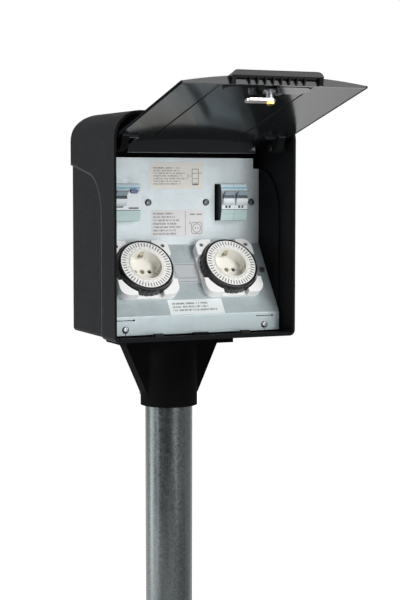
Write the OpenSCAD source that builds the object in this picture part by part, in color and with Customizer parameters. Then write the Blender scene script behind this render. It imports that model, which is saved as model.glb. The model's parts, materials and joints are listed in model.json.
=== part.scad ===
// Garden socket post: a hooded box with a lifting lid, two timer sockets and three breakers, on a steel tube.
// Row frame: origin at the middle of the tube's foot, +Z up, the box looks towards -Y. Millimetres.

/* [Post] */
// Outer diameter of the steel tube
post_d = 60.3; // [48:0.1:63]
// Wall of the steel tube
post_wall = 2.9; // [2:0.1:4]
// Length of tube that shows below the collar
post_show = 900; // [600:10:1200]
// Length of tube inside the collar
post_in = 44; // [35:1:46]
// Depth that the tube's top is turned down to seat in the collar
seat_turn = 0.65; // [0.5:0.05:0.8]
// Distance from the box's rear edge forward to the tube's axis
axis_back = 33; // [32:1:38]

/* [Neck] */
// Wall of the collar round the tube
collar_wall = 6.3; // [4:0.1:7]
// Radial room between tube and collar
collar_room = 0.15; // [0.1:0.05:0.4]
// Height of the neck from the collar's lower edge to the underside of its top block
neck_h = 79; // [70:1:95]
// Width of the top block under the box
block_w = 144; // [130:1:160]
// Depth of the top block under the box
block_d = 71; // [69:1:76]
// Height of the top block
block_h = 16; // [14:1:20]
// Reach of the wings to each side at the top
wing_reach = 63; // [56:1:66]
// Thickness of the wings
wing_t = 24; // [16:1:30]
// Radius of the cable way through the neck
neck_bore_r = 22; // [16:0.5:24]

/* [Box] */
// Width over the hood
box_w = 236; // [230:1:250]
// Depth of the hood
box_d = 150; // [150:1:165]
// Height of the hood
box_h = 270; // [266:1:290]
// Wall of both mouldings
wall = 3; // [2.5:0.1:3.5]
// Radius of the hood's upper corners
corner_top_r = 33; // [24:1:38]
// Radius of the hood's lower corners
corner_low_r = 7; // [6:0.5:10]
// Radius of the roof's rear edge
roof_rear_r = 22; // [14:1:28]
// Step from the hood in to the rear shell
shell_step = 2; // [1.5:0.1:2.5]
// Width of the lap where the rear shell runs inside the hood
lap = 8; // [5:0.5:10]
// Radial room in the lap
lap_room = 0.2; // [0.1:0.05:0.3]
// Place of the upright seam, from the front edge
seam_y = 44; // [42:0.5:46]
// Seam at the rear edge, below the hood's top
seam_down = 62; // [55:1:70]
// Slope of the seam's rear run
seam_slope = 10.5; // [6:0.5:14]
// Radius of the seam's bend
seam_r = 48; // [30:1:52]
// Height of the front lip
lip_h = 5; // [4.5:0.5:6.5]

/* [Panel] */
// Thickness of the galvanised sheet
sheet = 1.5; // [1:0.1:2]
// Gap between the panel's edge and the rear shell
panel_gap = 0.5; // [0.3:0.1:1.5]
// Gap between the upper part and the breakers' shoulders
shoulder_gap = 2; // [1:0.5:4]
// Front face of the lower flange, from the box's front edge
panel_low_y = 32; // [30:0.5:34]
// Top edge of the panel, below the hinge axis
panel_down = 12; // [10:1:17]
// Upper bend, below the breaker row
bend_drop = 52; // [50:0.5:56]
// Height of the lower bend
bend_low_z = 27; // [24:0.5:30]
// Lower edge of the flange
panel_foot_z = 5; // [4:0.5:7]
// Inside radius of the bends
bend_r = 1.5; // [1:0.25:3]
// Breaker row, below the panel's top edge
row_down = 55; // [52:0.5:58]
// Gap between a breaker window and the outer panel screw
window_edge = 9; // [8:0.5:11]
// Width of a breaker window
window_w = 42; // [40:0.5:43]
// Height of a breaker window
window_h = 46; // [46:0.5:47]

/* [Breakers] */
// Width of one breaker module
module_w = 17.6; // [17:0.1:17.7]
// Overall height of a breaker
breaker_h = 85; // [80:0.5:86]
// Depth from the rail to a breaker's shoulders
shoulder_d = 44; // [43:0.5:44.5]
// Reach of the breaker's nose from its shoulders
nose_d = 17.5; // [15:0.5:19]
// Height of the breaker's nose
nose_h = 45; // [43:0.5:45.2]
// Height of the toggles' axis above the row's middle
toggle_up = 3.5; // [2:0.5:5]
// Radius of a toggle's drum
toggle_r = 8; // [7:0.25:8.5]
// Reach of a toggle's lever from its axis
toggle_reach = 16.5; // [14:0.5:18]
// Lean of a toggle up or down from level
toggle_lean = 40; // [30:1:42]
// Side and front clearance of toggles and button
toggle_room = 0.3; // [0.2:0.05:0.4]
// Travel of the test button
button_travel = 1.5; // [1:0.1:2]

/* [Timers] */
// Gap between a timer's base and the rear shell's wall
timer_edge = 18; // [16:0.5:20]
// Gap between a timer's base and the upper bend
timer_gap = 1; // [0.8:0.1:5]
// Side of the timer's square base
timer_side = 77; // [76:0.5:82]
// Corner radius of the base
timer_corner_r = 12; // [8:0.5:14]
// Height of the base's corner pads
pad_h = 12; // [10:0.5:13]
// Height of the base's floor under the dial
pad_floor = 3.5; // [3:0.5:4.5]
// Radius of the dial ring
ring_r = 36; // [35:0.25:36.5]
// Height of the dial ring's front face above the panel
ring_front = 18; // [16:0.5:20]
// Radius of the white dial face
face_r = 32; // [30:0.25:33]
// Thickness of the dial face
face_t = 1.2; // [0.8:0.1:1.5]
// Notches round the dial ring
ring_notches = 32; // [24:1:48]
// Inside radius of the socket well
well_r = 19.75; // [19.5:0.05:20.2]
// Wall of the socket well
well_wall = 1.65; // [1.4:0.05:1.9]
// Depth of the socket well
well_depth = 17; // [15:0.5:17.5]
// Running clearance round the dial
dial_room = 0.4; // [0.3:0.05:0.5]
// Distance between the two pin holes
pin_pitch = 19; // [18.5:0.1:19.5]
// Radius of a pin hole
pin_hole_r = 2.8; // [2.6:0.05:3]
// Depth of the movement's case behind the panel
case_d = 32; // [28:0.5:34]
// Side of the movement's case
case_side = 64; // [58:0.5:66]

/* [Lid] */
// Hinge axis, from the box's front edge
hinge_y = 26; // [25:0.5:28]
// Hinge axis, below the hood's top
hinge_down = 41; // [40:0.5:43]
// Angle of the open lid above level
lid_open = 15; // [5:1:18]
// Lid's side edge, in from the hood's side
lid_side = 6; // [5.5:0.5:8]
// Step from the lid's side in to its part behind the hinge
lid_step = 27.5; // [26:0.5:32]
// Free edge of the closed lid, above the box's lower edge
lid_gap = 15; // [14:0.5:20]
// Reach of the lid behind the hinge
lid_back = 19.5; // [16:0.5:22]
// Place where the lid's full width begins, from the hinge
lid_shoulder = 14; // [13:0.5:18]
// Rim plane, outward from the hinge axis
rim_n = 5.8; // [5:0.1:6.5]
// Edge height of the lid's skin over the rim
skin_edge = 2.3; // [2:0.1:3]
// Crown of the lid's skin across its width
crown = 9.3; // [7:0.1:11]
// Thickness of the lid's skin
skin_t = 2.5; // [2:0.1:3]
// Radius of the hinge pins
pin_r = 3; // [2.5:0.1:3.5]
// Running clearance in the hinge
pin_room = 0.05; // [0.02:0.01:0.1]

/* [Handle] */
// Half width of the handle
handle_half_w = 55; // [50:0.5:58]
// Overhang of the handle past the lid's free edge
handle_over = 7; // [5:0.5:8]
// Height of the handle over the crown
handle_h = 3; // [2.5:0.5:5]
// Pitch of the fins under the handle
fin_pitch = 9.4; // [8:0.1:11]
// Number of fins under the handle
fin_count = 8; // [5:1:10]
// Thickness of a fin
fin_t = 1.8; // [1.2:0.1:2.5]

/* [Lock] */
// Distance of the lock from the lid's free edge
lock_in = 19.5; // [18:0.5:22]
// Radius of the lock's spindle
spindle_r = 4; // [3.5:0.1:4.5]
// Cam plane, outward from the hinge axis
cam_n = -4; // [-5:0.25:-3]
// Thickness of the cam
cam_t = 2.5; // [2:0.1:3]
// Reach of the cam from the spindle's axis
cam_reach = 29; // [27:0.5:30]
// Width of the cam
cam_w = 11; // [9:0.5:12]

/* [Fasteners] */
// Gap between a breaker window and the inner panel screw
pillar_gap = 12; // [10:0.5:14]
// Outer panel screws, in from the rear shell's wall
pillar_edge = 11; // [10:0.5:13]
// Flange screws, in from the rear shell's wall
flange_screw_edge = 21; // [17:0.5:26]
// Flange screws, above the box's lower edge
flange_screw_z = 12; // [10.5:0.5:13]
// Slope screws, in from the rear shell's wall
slope_screw_edge = 7.5; // [7:0.5:9]
// Slope screws, from the upper bend down the slope
slope_screw_s = 41; // [36:0.5:48]
// Radius of the sheet screws' heads
head_r = 4.2; // [3.8:0.1:4.6]
// Height of the sheet screws' heads
head_h = 2.6; // [2:0.1:3]
// Radius of the sheet screws' shanks
shank_r = 2; // [1.5:0.1:2.2]

/* [Hidden] */
$fn = 48;
eps = 0.01;
far = 400;
half_w = box_w / 2;
front_over = 20;
through = 20;

// Heights in the row frame
seat_r = post_d / 2 - seat_turn;
seat_start = 1;
collar_bore_r = seat_r + collar_room;
collar_r = collar_bore_r + collar_wall;
block_drop = block_h - shell_step;
box_z = post_show + neck_h + block_drop;

// Rear shell, inside faces
shell_in = shell_step + wall;
shell_half_in = half_w - shell_in;
shell_back_in = box_d - shell_in;
floor_top = shell_in;
post_axis_y = box_d - axis_back;
block_front_y = box_d - block_d;
seam_rear_z = box_h - seam_down;
low_screw_edge = 34;
rear_screw_edge = 56;
shell_screw_low_x = half_w - low_screw_edge;
shell_screw_rear_x = half_w - rear_screw_edge;
screw_skin = 0.8;
grommet_lip = 3;
grommet_wall = 5;

// Heights of hinge, panel and breaker row, from the top down
hinge_z = box_h - hinge_down;
panel_top_z = hinge_z - panel_down;
device_z = panel_top_z - row_down;
bend_up_z = device_z - bend_drop;

// Rail and breakers, from the rear wall forward
rail_d = 7.5;
rail_h = 35;
rail_web_h = 25;
rail_t = 1;
rail_half = shell_half_in - 5;
rail_front_y = shell_back_in - rail_d;
rail_web_y = shell_back_in - rail_t;
rail_screw_gap = 9.8;
shoulder_y = rail_front_y - shoulder_d;
nose_y = shoulder_y - nose_d;
nose_flat = 10;
nose_fall = 3.5;
cover_down = 4;
cover_groove = 0.8;
cover_groove_d = 2;
claw_h = 3;
claw_d = 4;
claw_room = 0.3;
toggle_y = nose_y + toggle_r / 2;
toggle_z = device_z + toggle_up;
toggle_w = module_w - 2.4;
lever_t = 4;
lever_in = 0.4;
lever_taper = 0.5;
lever_tip = 1;
module_gap = 0.2;
button_w = 10;
button_h = 5;
button_out = 2.4;
button_in = 5;
button_z = device_z + 14;

// Panel
panel_half_w = shell_half_in - panel_gap;
panel_up_y = shoulder_y - sheet - shoulder_gap;
pillar_out_x = shell_half_in - pillar_edge;
window_x = pillar_out_x - window_edge - window_w / 2;
pillar_in_x = window_x - window_w / 2 - pillar_gap;
pillar_r = 5;
rail_screw_x = pillar_in_x - pillar_r - head_r - rail_screw_gap;
pillar_thread = 10;
flange_screw_x = shell_half_in - flange_screw_edge;
slope_screw_x = shell_half_in - slope_screw_edge;
slit_end_r = 1.3;
slope_rise = bend_up_z - bend_low_z;
slope_run = panel_up_y - panel_low_y;
beta = atan2(slope_run, slope_rise);
notch_w = 8;
notch_h = 13;
slit = 0.9;
slit_len = 22;
slit_z = 22.5;
panel_hole_room = 0.3;

// Breakers across the box
rcd_x = -window_x;
rcd_toggle_x = rcd_x - module_w / 2;
mcb_left_x = window_x - (module_w + module_gap) / 2;
mcb_right_x = window_x + (module_w + module_gap) / 2;

// Supply terminal and earth bar, on the shell's rear wall
terminal_ways = 5;
terminal_pitch = 16;
terminal_h = 24;
terminal_d = 22;
terminal_z = 66;
terminal_half = terminal_ways * terminal_pitch / 2;
terminal_wire_r = 4;
terminal_drive_r = 3;
terminal_drive_d = 7;
fix_out = 5;
fix_t = 4;
fix_h = 12;
bar_half = 40;
bar_z = 100;
bar_h = 9;
bar_d = 7;
bar_pitch = 10;
bar_hole_r = 2;
bar_skin = 2;

// Timers
timer_x = shell_half_in - timer_edge - timer_side / 2;
timer_s = timer_side / 2 + timer_gap;
base_room = 0.3;
grip_cut = 33.5;
pocket_r = ring_r + dial_room + 1;
well_out_r = well_r + well_wall;
well_floor = 3.5;
well_rim = ring_front + 0.4;
well_base = well_rim - well_depth;
well_foot = well_base - well_floor - 6;
case_top = -sheet;
pad_screw = timer_side / 2 - 8;
pad_head_r = 2.6;
pad_head_h = 1.8;
pad_sink = 3;
clip_w = 6;
clip_t = 0.9;
clip_top = well_rim - 4;
sleeve_r = 3.4;
sleeve_len = 12;
sleeve_end = 1;
pad_thread = 14;
slot_room = 0.2;
slot_d = 2.8;
slot_off = 1.2;
clip_gap = 0.3;
centre_head_r = 2.8;
centre_head_h = 1.6;
centre_sink = 0.3;
centre_seat = well_base - centre_head_h - centre_sink;
ring_shoulder = 5;
ring_round = 1;
ring_bevel = 1.8;
notch_out = 1.6;
notch_r = 2.2;

// Lid and lock, in the lid's frame: x across, y towards the hinge's rear, z outward
lid_reach = hinge_z - lid_gap;
lid_half_w = half_w - lid_side;
lid_back_half_w = lid_half_w - lid_step;
crown_r = (lid_half_w * lid_half_w + crown * crown) / (2 * crown);
crown_top = rim_n + skin_edge + crown;
crown_axis = crown_top - crown_r;
rib_x = 56;
rib_w = 1;
rib_h = 0.8;
boss_half_w = 52;
boss_n = crown_top - 9;
boss_a0 = lid_reach - 36;
boss_a1 = lid_reach - 13;
ear_edge = 6;
ear_t = 9;
ear_x0 = lid_half_w - ear_edge - ear_t;
ear_r = 6.5;
ear_root = 11;
ear_web = 3;
rear_lip_h = 8;
rear_lip_in = 0.4;
hinge_gap = 0.6;
pin_head_out = 1.6;
pin_head_h = 1.4;
lock_a = lid_reach - lock_in;
barrel_r = 7;
barrel_head_r = 9;
barrel_head_h = 2.8;
barrel_tail = 0.8;
nut_h = 3;
nut_r = 11;
key_slot_w = 1;
key_slot_half = 2.6;
spindle_out = 2.9;
cam_nose = 2;
cam_screw_r = 2;
cam_screw_head = 2.8;
cam_screw_head_r = 4.4;
cam_screw_in = 6;
handle_screw_x = 16;
handle_screw_a = lock_a - 10;
handle_top = crown_top + handle_h;
handle_tip = lid_reach + handle_over;
handle_start = boss_a0 + 6;
handle_foot_h = 2;
handle_foot_run = 3;
handle_rise_in = 8;
handle_rise_run = 5;
handle_crest_run = 2;
handle_edge = 1.2;
handle_crest_drop = 0.6;
grip_d = 6.4;
grip_under = 3;
grip_rise = 1;
handle_corner_r = 8;
web_in = 1;
web_low = 6;
web_high = 3;
fin_low = 0.6;
fin_out = 0.8;
end_web_w = 5;
end_web_out = 2.5;
handle_thread = 1.4;
barrel_room = 0.3;
seat_room = 0.1;

// Strike and buffers on the front floor
strike_half_w = 10;
strike_y = 18.5;
strike_t = 3;
strike_h = 7;
buffer_x = 57;
buffer_y = 14;
buffer_w = 11;
buffer_d = 8;
buffer_top = 7.8;

// Bosses behind the flange
boss_w = 12;
boss_d = 8;
boss_r = 4.5;
boss_y = panel_low_y + sheet;
boss_top = flange_screw_z + 6;
flange_thread = 6;
slope_thread = 7;
slope_head_less = 0.8;
slope_head_low = 0.6;

// Neck bolts and clamp screws
bolt_x = 58;
bolt_front_in = 13;
bolt_rear_in = 14;
bolt_front_y = block_front_y + bolt_front_in;
bolt_rear_y = box_d - bolt_rear_in;
bolt_r = 3;
bolt_head_r = 5.8;
bolt_head_h = 4;
clamp_r = 4;
clamp_up = 14;
clamp_out = 3;
clamp_key_r = 2.3;
wing_in = 2;

// Places

// From the box's own frame (front edge, middle, lower edge) into the row frame
module in_box() {
    translate([0, -post_axis_y, box_z]) children();
}

// Onto the slanted face: x across, y up the slope, z straight out of the panel
module on_slope(x, s) {
    in_box()
        translate([x, panel_up_y - s * sin(beta), bend_up_z - s * cos(beta)])
            rotate([90 - beta, 0, 0]) children();
}

// Into the lid's frame as it stands open
module on_lid() {
    in_box() translate([0, hinge_y, hinge_z]) rotate([-lid_open, 0, 0]) children();
}

// Shared shapes

// An outline in Y and Z, drawn out along X to both sides of the middle
module along_x(width) {
    translate([-width / 2, 0, 0]) rotate([90, 0, 90]) linear_extrude(width) children();
}

// An outline in X and Z, drawn back along Y from a start
module along_y(start, depth) {
    translate([0, start + depth, 0]) rotate([90, 0, 0]) linear_extrude(depth) children();
}

// A rectangle with one radius at its lower and one at its upper corners
module arched_rect(half, z0, z1, r_low, r_top) {
    translate([-half, z0 + r_low]) square([2 * half, z1 - r_top - z0 - r_low]);
    translate([-half + r_low, z0]) square([2 * (half - r_low), z1 - z0 - r_top]);
    translate([-half + r_top, z0 + r_low]) square([2 * (half - r_top), z1 - z0 - r_low]);
    for (side = [-1, 1]) {
        translate([side * (half - r_low), z0 + r_low]) circle(r_low);
        translate([side * (half - r_top), z1 - r_top]) circle(r_top);
    }
}

// A square plate with round corners
module round_plate(side, r, h) {
    linear_extrude(h) arched_rect(side / 2, -side / 2, side / 2, r, r);
}

// A sheet screw along +Z with its head above z = 0
module sheet_screw(shank, r = head_r, h = head_h) {
    difference() {
        union() {
            cylinder(r = r, h = h);
            translate([0, 0, -shank]) cylinder(r = shank_r, h = shank + eps);
        }
        translate([-r, -0.5, h - 1]) cube([2 * r, 1, 2]);
    }
}

// Box mouldings

// The box's solid outline, drawn in by an inset and run out past the front by some length
module moulding(inset, out) {
    top_r = corner_top_r - inset;
    low_r = corner_low_r - inset;
    back = box_d - inset;
    intersection() {
        along_y(-out, back + out) arched_rect(half_w - inset, inset, box_h - inset, low_r, top_r);
        along_x(far) difference() {
            translate([-out, -1]) square([back + out, box_h - inset + 1]);
            translate([back - roof_rear_r + inset, box_h - roof_rear_r]) difference() {
                square(far);
                circle(roof_rear_r - inset);
            }
        }
    }
}

// The part of the side view behind and below the seam, grown by some width
module seam_region(grow) {
    y0 = seam_y - grow;
    r = seam_r + grow;
    rise = tan(seam_slope);
    corner_z = seam_rear_z - (box_d - seam_y) * rise;
    centre = [seam_y + seam_r, corner_z - seam_r * tan((90 - seam_slope) / 2)];
    touch = centre + r * [-sin(seam_slope), cos(seam_slope)];
    end_y = box_d + front_over;
    polygon([
        [y0, -front_over], [end_y, -front_over], [end_y, touch[1] + (end_y - touch[0]) * rise],
        touch, centre, [y0, centre[1]]
    ]);
    translate(centre) circle(r);
}

// Holes for the screws that tie hood and rear shell together
module shell_screw_places() {
    for (side = [-1, 1]) {
        translate([side * shell_screw_low_x, seam_y - lap / 2, 0]) rotate([180, 0, 0]) children();
        translate([side * shell_screw_rear_x, box_d, seam_rear_z + lap / 2]) rotate([-90, 0, 0]) children();
    }
}

module front_hood() color("#2b2c2e") in_box() difference() {
    union() {
        difference() {
            moulding(0, 0);
            moulding(wall, front_over);
            along_x(far) seam_region(0);
        }
        // Front lip and strike
        translate([-half_w + corner_low_r, 0, wall - eps])
            cube([box_w - 2 * corner_low_r, wall, lip_h - wall + eps]);
        translate([-strike_half_w, strike_y, wall - eps])
            cube([2 * strike_half_w, strike_t, strike_h - wall + eps]);
        for (side = [-1, 1]) {
            // Bosses behind the flange screws
            translate([side * flange_screw_x - boss_w / 2, boss_y, wall - eps])
                cube([boss_w, seam_y - lap - lap_room - boss_y, boss_top - wall]);
            translate([side * flange_screw_x - boss_w / 2, boss_y, floor_top + lap_room])
                cube([boss_w, boss_d, boss_top - floor_top - lap_room - eps]);
            // Hinge bosses
            translate([side * (half_w - wall + eps), hinge_y, hinge_z]) rotate([0, -side * 90, 0])
                cylinder(r = ear_r, h = half_w - wall - ear_x0 - ear_t - hinge_gap);
        }
    }
    for (side = [-1, 1]) {
        translate([side * flange_screw_x, panel_low_y, flange_screw_z]) rotate([-90, 0, 0])
            cylinder(r = shank_r, h = boss_d + sheet);
        translate([side * (half_w - wall), hinge_y, hinge_z]) rotate([0, -side * 90, 0])
            cylinder(r = pin_r, h = half_w);
    }
    shell_screw_places() translate([0, 0, -through / 2]) cylinder(r = shank_r, h = through);
}

// Bosses on the shell's side walls that take the slope screws
module slope_bosses() {
    reach = shell_half_in - slope_screw_x + wall / 2;
    for (side = [-1, 1]) on_slope(side * slope_screw_x, slope_screw_s)
        translate([side > 0 ? -boss_r : -reach, -boss_r, -sheet - boss_d])
            cube([boss_r + reach, 2 * boss_r, boss_d]);
}

module rear_shell() color("#323335") difference() {
    union() {
        in_box() difference() {
            intersection() {
                moulding(shell_step, 0);
                along_x(far) seam_region(0);
            }
            moulding(shell_in, front_over);
        }
        // Tongue that runs inside the hood
        in_box() difference() {
            intersection() {
                moulding(wall + lap_room, 0);
                along_x(far) seam_region(lap);
            }
            moulding(shell_in, front_over);
        }
        slope_bosses();
    }
    // Cable way and the holes of what is fastened through the walls
    in_box() {
        translate([0, post_axis_y, -1]) cylinder(r = neck_bore_r, h = far / 10);
        bolt_places() translate([0, 0, -1]) cylinder(r = bolt_r, h = through);
        for (side = [-1, 1])
            translate([side * rail_screw_x, shell_back_in - 1, device_z]) rotate([-90, 0, 0])
                cylinder(r = shank_r, h = wall - screw_skin + 1);
        shell_screw_places() translate([0, 0, -through / 2]) cylinder(r = shank_r, h = through);
        terminal_screw_places() translate([0, 0, screw_skin - wall]) cylinder(r = shank_r, h = wall);
    }
    slope_screw_places() translate([0, 0, -sheet - boss_d]) cylinder(r = shank_r, h = boss_d + 1);
}

module shell_screws() color("#3a3b3d") in_box()
    shell_screw_places() sheet_screw(shell_in);

module cable_grommet() color("#1c1c1d") in_box() translate([0, post_axis_y, 0]) rotate_extrude()
    polygon([
        [neck_bore_r - grommet_wall, floor_top - wall / 3], [neck_bore_r, floor_top - wall / 3],
        [neck_bore_r, floor_top], [neck_bore_r + grommet_lip, floor_top],
        [neck_bore_r + grommet_lip, floor_top + grommet_lip],
        [neck_bore_r - grommet_lip, floor_top + grommet_wall]
    ]);

module hinge_pins() color("#b9bcc0") in_box() for (side = [-1, 1])
    translate([side * (half_w - wall), hinge_y, hinge_z]) rotate([0, -side * 90, 0]) {
        cylinder(r = pin_r, h = half_w - wall - ear_x0 + hinge_gap);
        translate([0, 0, half_w - wall - ear_x0 + hinge_gap - eps])
            cylinder(r = pin_r + pin_head_out, h = pin_head_h);
    }

module lid_buffers() color("#0f0f10") in_box() for (side = [-1, 1])
    translate([side * buffer_x - buffer_w / 2, buffer_y - buffer_d / 2, wall])
        rotate([90, 0, 90]) linear_extrude(buffer_w) polygon([
            [0, 0], [buffer_d, 0], [buffer_d, buffer_top - wall - 1], [buffer_d - 1, buffer_top - wall],
            [1, buffer_top - wall], [0, buffer_top - wall - 1]
        ]);

// Post and neck

module post_tube() color("#9a9da0") difference() {
    union() {
        cylinder(r = post_d / 2, h = post_show - seat_start);
        cylinder(r = seat_r, h = post_show + post_in);
    }
    translate([0, 0, -1]) cylinder(r = post_d / 2 - post_wall, h = post_show + post_in + 2);
}

// Places of the clamp screws, on the collar's rear quarters, pointing out
module clamp_places() {
    for (turn = [45, 135])
        translate([0, 0, post_show + clamp_up]) rotate([0, 0, turn]) rotate([0, 90, 0]) children();
}

// Places of the bolts that hold the box to the neck, on the shell's floor
module bolt_places() {
    for (side = [-1, 1], y = [bolt_front_y, bolt_rear_y])
        translate([side * bolt_x, y, 0]) children();
}

module neck() color("#17181a") difference() {
    union() {
        translate([0, 0, post_show]) cylinder(r = collar_r, h = neck_h + eps);
        translate([0, wing_t / 2, post_show]) rotate([90, 0, 0]) linear_extrude(wing_t) polygon([
            [-collar_r + wing_in, clamp_up], [collar_r - wing_in, clamp_up],
            [wing_reach, neck_h + eps], [-wing_reach, neck_h + eps]
        ]);
        in_box() translate([-block_w / 2, block_front_y, -block_drop])
            cube([block_w, box_d - block_front_y, block_h]);
    }
    translate([0, 0, post_show - 1]) cylinder(r = collar_bore_r, h = post_in + 1);
    cylinder(r = neck_bore_r, h = box_z + far);
    in_box() bolt_places() translate([0, 0, shell_step - block_h]) cylinder(r = bolt_r, h = far / 10);
    clamp_places() cylinder(r = clamp_r, h = far / 4);
}

module neck_clamp_screws() color("#8d9094") clamp_places()
    translate([0, 0, seat_r + seat_room]) difference() {
        cylinder(r = clamp_r, h = collar_r + clamp_out - seat_r);
        translate([0, 0, collar_r - seat_r]) cylinder(r = clamp_key_r, h = through, $fn = 6);
    }

module neck_bolts() color("#a5a8ac") in_box() bolt_places() {
    translate([0, 0, shell_step - block_h]) cylinder(r = bolt_r, h = floor_top - shell_step + block_h + eps);
    translate([0, 0, floor_top]) cylinder(r = bolt_head_r, h = bolt_head_h, $fn = 6);
}

// Rail, pillars and panel

module din_rail() color("#b4b8bb") in_box() difference() {
    translate([0, 0, device_z]) along_x(2 * rail_half) {
        translate([rail_web_y, -rail_web_h / 2]) square([rail_t, rail_web_h]);
        for (side = [-1, 1]) {
            translate([rail_front_y, side * (rail_web_h - rail_t) / 2 - rail_t / 2]) square([rail_d, rail_t]);
            translate([rail_front_y, side * (rail_h + rail_web_h) / 4 - (rail_h - rail_web_h) / 4])
                square([rail_t, (rail_h - rail_web_h) / 2]);
        }
    }
    for (side = [-1, 1])
        translate([side * rail_screw_x, rail_web_y - 1, device_z]) rotate([-90, 0, 0])
            cylinder(r = shank_r, h = through);
}

module rail_screws() color("#c0c2c4") in_box() for (side = [-1, 1])
    translate([side * rail_screw_x, rail_web_y, device_z]) rotate([90, 0, 0])
        sheet_screw(wall - screw_skin + rail_t);

module pillar_places() {
    for (side = [-1, 1], x = [pillar_in_x, pillar_out_x])
        translate([side * x, panel_up_y, device_z]) rotate([90, 0, 0]) children();
}

module panel_pillars() color("#c9c3a4") in_box() pillar_places() difference() {
    translate([0, 0, panel_up_y - rail_web_y])
        cylinder(r = pillar_r, h = rail_web_y - panel_up_y - sheet, $fn = 6);
    translate([0, 0, -sheet - pillar_thread]) cylinder(r = shank_r, h = pillar_thread + sheet);
}

// Points of a bend: a corner, the headings before and after it, and its radius
function bend(corner, before, after, r) =
    let (side = sign(after - before), cut = r * tan(abs(after - before) / 2))
    let (start = corner - cut * [cos(before), sin(before)])
    let (centre = start + side * r * [-sin(before), cos(before)])
    [for (i = [0 : 4]) let (a = before + (after - before) * i / 4) centre - side * r * [-sin(a), cos(a)]];

// The folded sheet's outline in Y and Z
module panel_outline() {
    drop = sheet * tan(beta / 2);
    back_y = sheet;
    down = -90;
    lean = -90 - beta;
    front = concat(
        [[panel_up_y, panel_top_z]],
        bend([panel_up_y, bend_up_z], down, lean, bend_r),
        bend([panel_low_y, bend_low_z], lean, down, bend_r + sheet),
        [[panel_low_y, panel_foot_z]]
    );
    back = concat(
        [[panel_up_y + back_y, panel_top_z]],
        bend([panel_up_y + back_y, bend_up_z - drop], down, lean, bend_r + sheet),
        bend([panel_low_y + back_y, bend_low_z - drop], lean, down, bend_r),
        [[panel_low_y + back_y, panel_foot_z]]
    );
    polygon(concat(front, [for (i = [len(back) - 1 : -1 : 0]) back[i]]));
}

module slope_screw_places() {
    for (side = [-1, 1]) on_slope(side * slope_screw_x, slope_screw_s) children();
}

module front_panel() color("#cfd6d8") difference() {
    in_box() along_x(2 * panel_half_w) panel_outline();
    in_box() {
        for (side = [-1, 1]) {
            // Breaker windows and the notches beside the hinge
            translate([side * window_x - window_w / 2, panel_up_y - 5, device_z - window_h / 2])
                cube([window_w, 10, window_h]);
            translate([side * panel_half_w - notch_w, panel_up_y - 5, panel_top_z - notch_h])
                cube([2 * notch_w, 10, notch_h + 5]);
            // Slots and relief cuts of the flange
            translate([side * flange_screw_x - slit_len / 2, panel_low_y - 5, slit_z])
                cube([slit_len, 10, slit]);
            translate([side * flange_screw_x + slit_len / 2, panel_low_y - 5, slit_z + slit / 2])
                rotate([-90, 0, 0]) cylinder(r = slit_end_r, h = 10);
            translate([side * flange_screw_x - slit / 2, panel_low_y - 5, panel_foot_z - 1])
                cube([slit, 10, flange_screw_z - panel_foot_z]);
            translate([side * flange_screw_x, panel_low_y - 5, flange_screw_z]) rotate([-90, 0, 0])
                cylinder(r = shank_r, h = 10);
        }
        pillar_places() translate([0, 0, -5]) cylinder(r = shank_r, h = 10);
    }
    slope_screw_places() translate([0, 0, -5]) cylinder(r = shank_r, h = 10);
    for (side = [-1, 1]) on_slope(side * timer_x, timer_s) {
        translate([0, 0, -5]) cylinder(r = well_out_r + panel_hole_room, h = 10);
        pad_screw_places() translate([0, 0, -5]) cylinder(r = shank_r, h = 10);
    }
}

module pillar_screws() color("#6d7072") in_box() pillar_places()
    sheet_screw(sheet + pillar_thread - screw_skin);

module flange_screws() color("#8f9395") in_box() for (side = [-1, 1])
    translate([side * flange_screw_x, panel_low_y, flange_screw_z]) rotate([90, 0, 0])
        sheet_screw(sheet + flange_thread);

module slope_screws() color("#9ea2a4") slope_screw_places()
    sheet_screw(sheet + slope_thread, head_r - slope_head_less, head_h - slope_head_low);

// Breakers

// Side view of a breaker: clamped on the rail at its back, with its nose through the panel's window
module breaker_outline() {
    half = breaker_h / 2;
    nose = nose_h / 2;
    claw = rail_h / 2 + claw_room;
    hook_y = rail_front_y + claw_d;
    polygon([
        [rail_front_y, -half], [shoulder_y, -half], [shoulder_y, -nose], [nose_y + nose_fall, -nose],
        [nose_y, -nose_flat], [nose_y, nose_flat + toggle_up], [nose_y + nose_fall, nose],
        [shoulder_y, nose], [shoulder_y, half], [rail_front_y, half],
        // Claws over and under the rail
        [rail_front_y, claw + claw_h], [hook_y, claw + claw_h], [hook_y, claw], [rail_front_y, claw],
        [rail_front_y, -claw], [hook_y, -claw], [hook_y, -claw - claw_h], [rail_front_y, -claw - claw_h]
    ]);
}

// The room for a toggle's drum
module toggle_pocket(x) {
    translate([x - toggle_w / 2 - toggle_room, toggle_y, toggle_z]) rotate([0, 90, 0])
        cylinder(r = toggle_r + toggle_room, h = toggle_w + 2 * toggle_room);
}

module breaker(x, modules) {
    width = modules * module_w;
    difference() {
        translate([x, 0, device_z]) along_x(width) breaker_outline();
        toggle_pocket(x - (width - module_w) / 2);
        // Groove between the front and the terminal covers
        translate([x - width, nose_y - 1, device_z - nose_flat - cover_down])
            cube([2 * width, cover_groove_d + 1, cover_groove]);
    }
}

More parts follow.
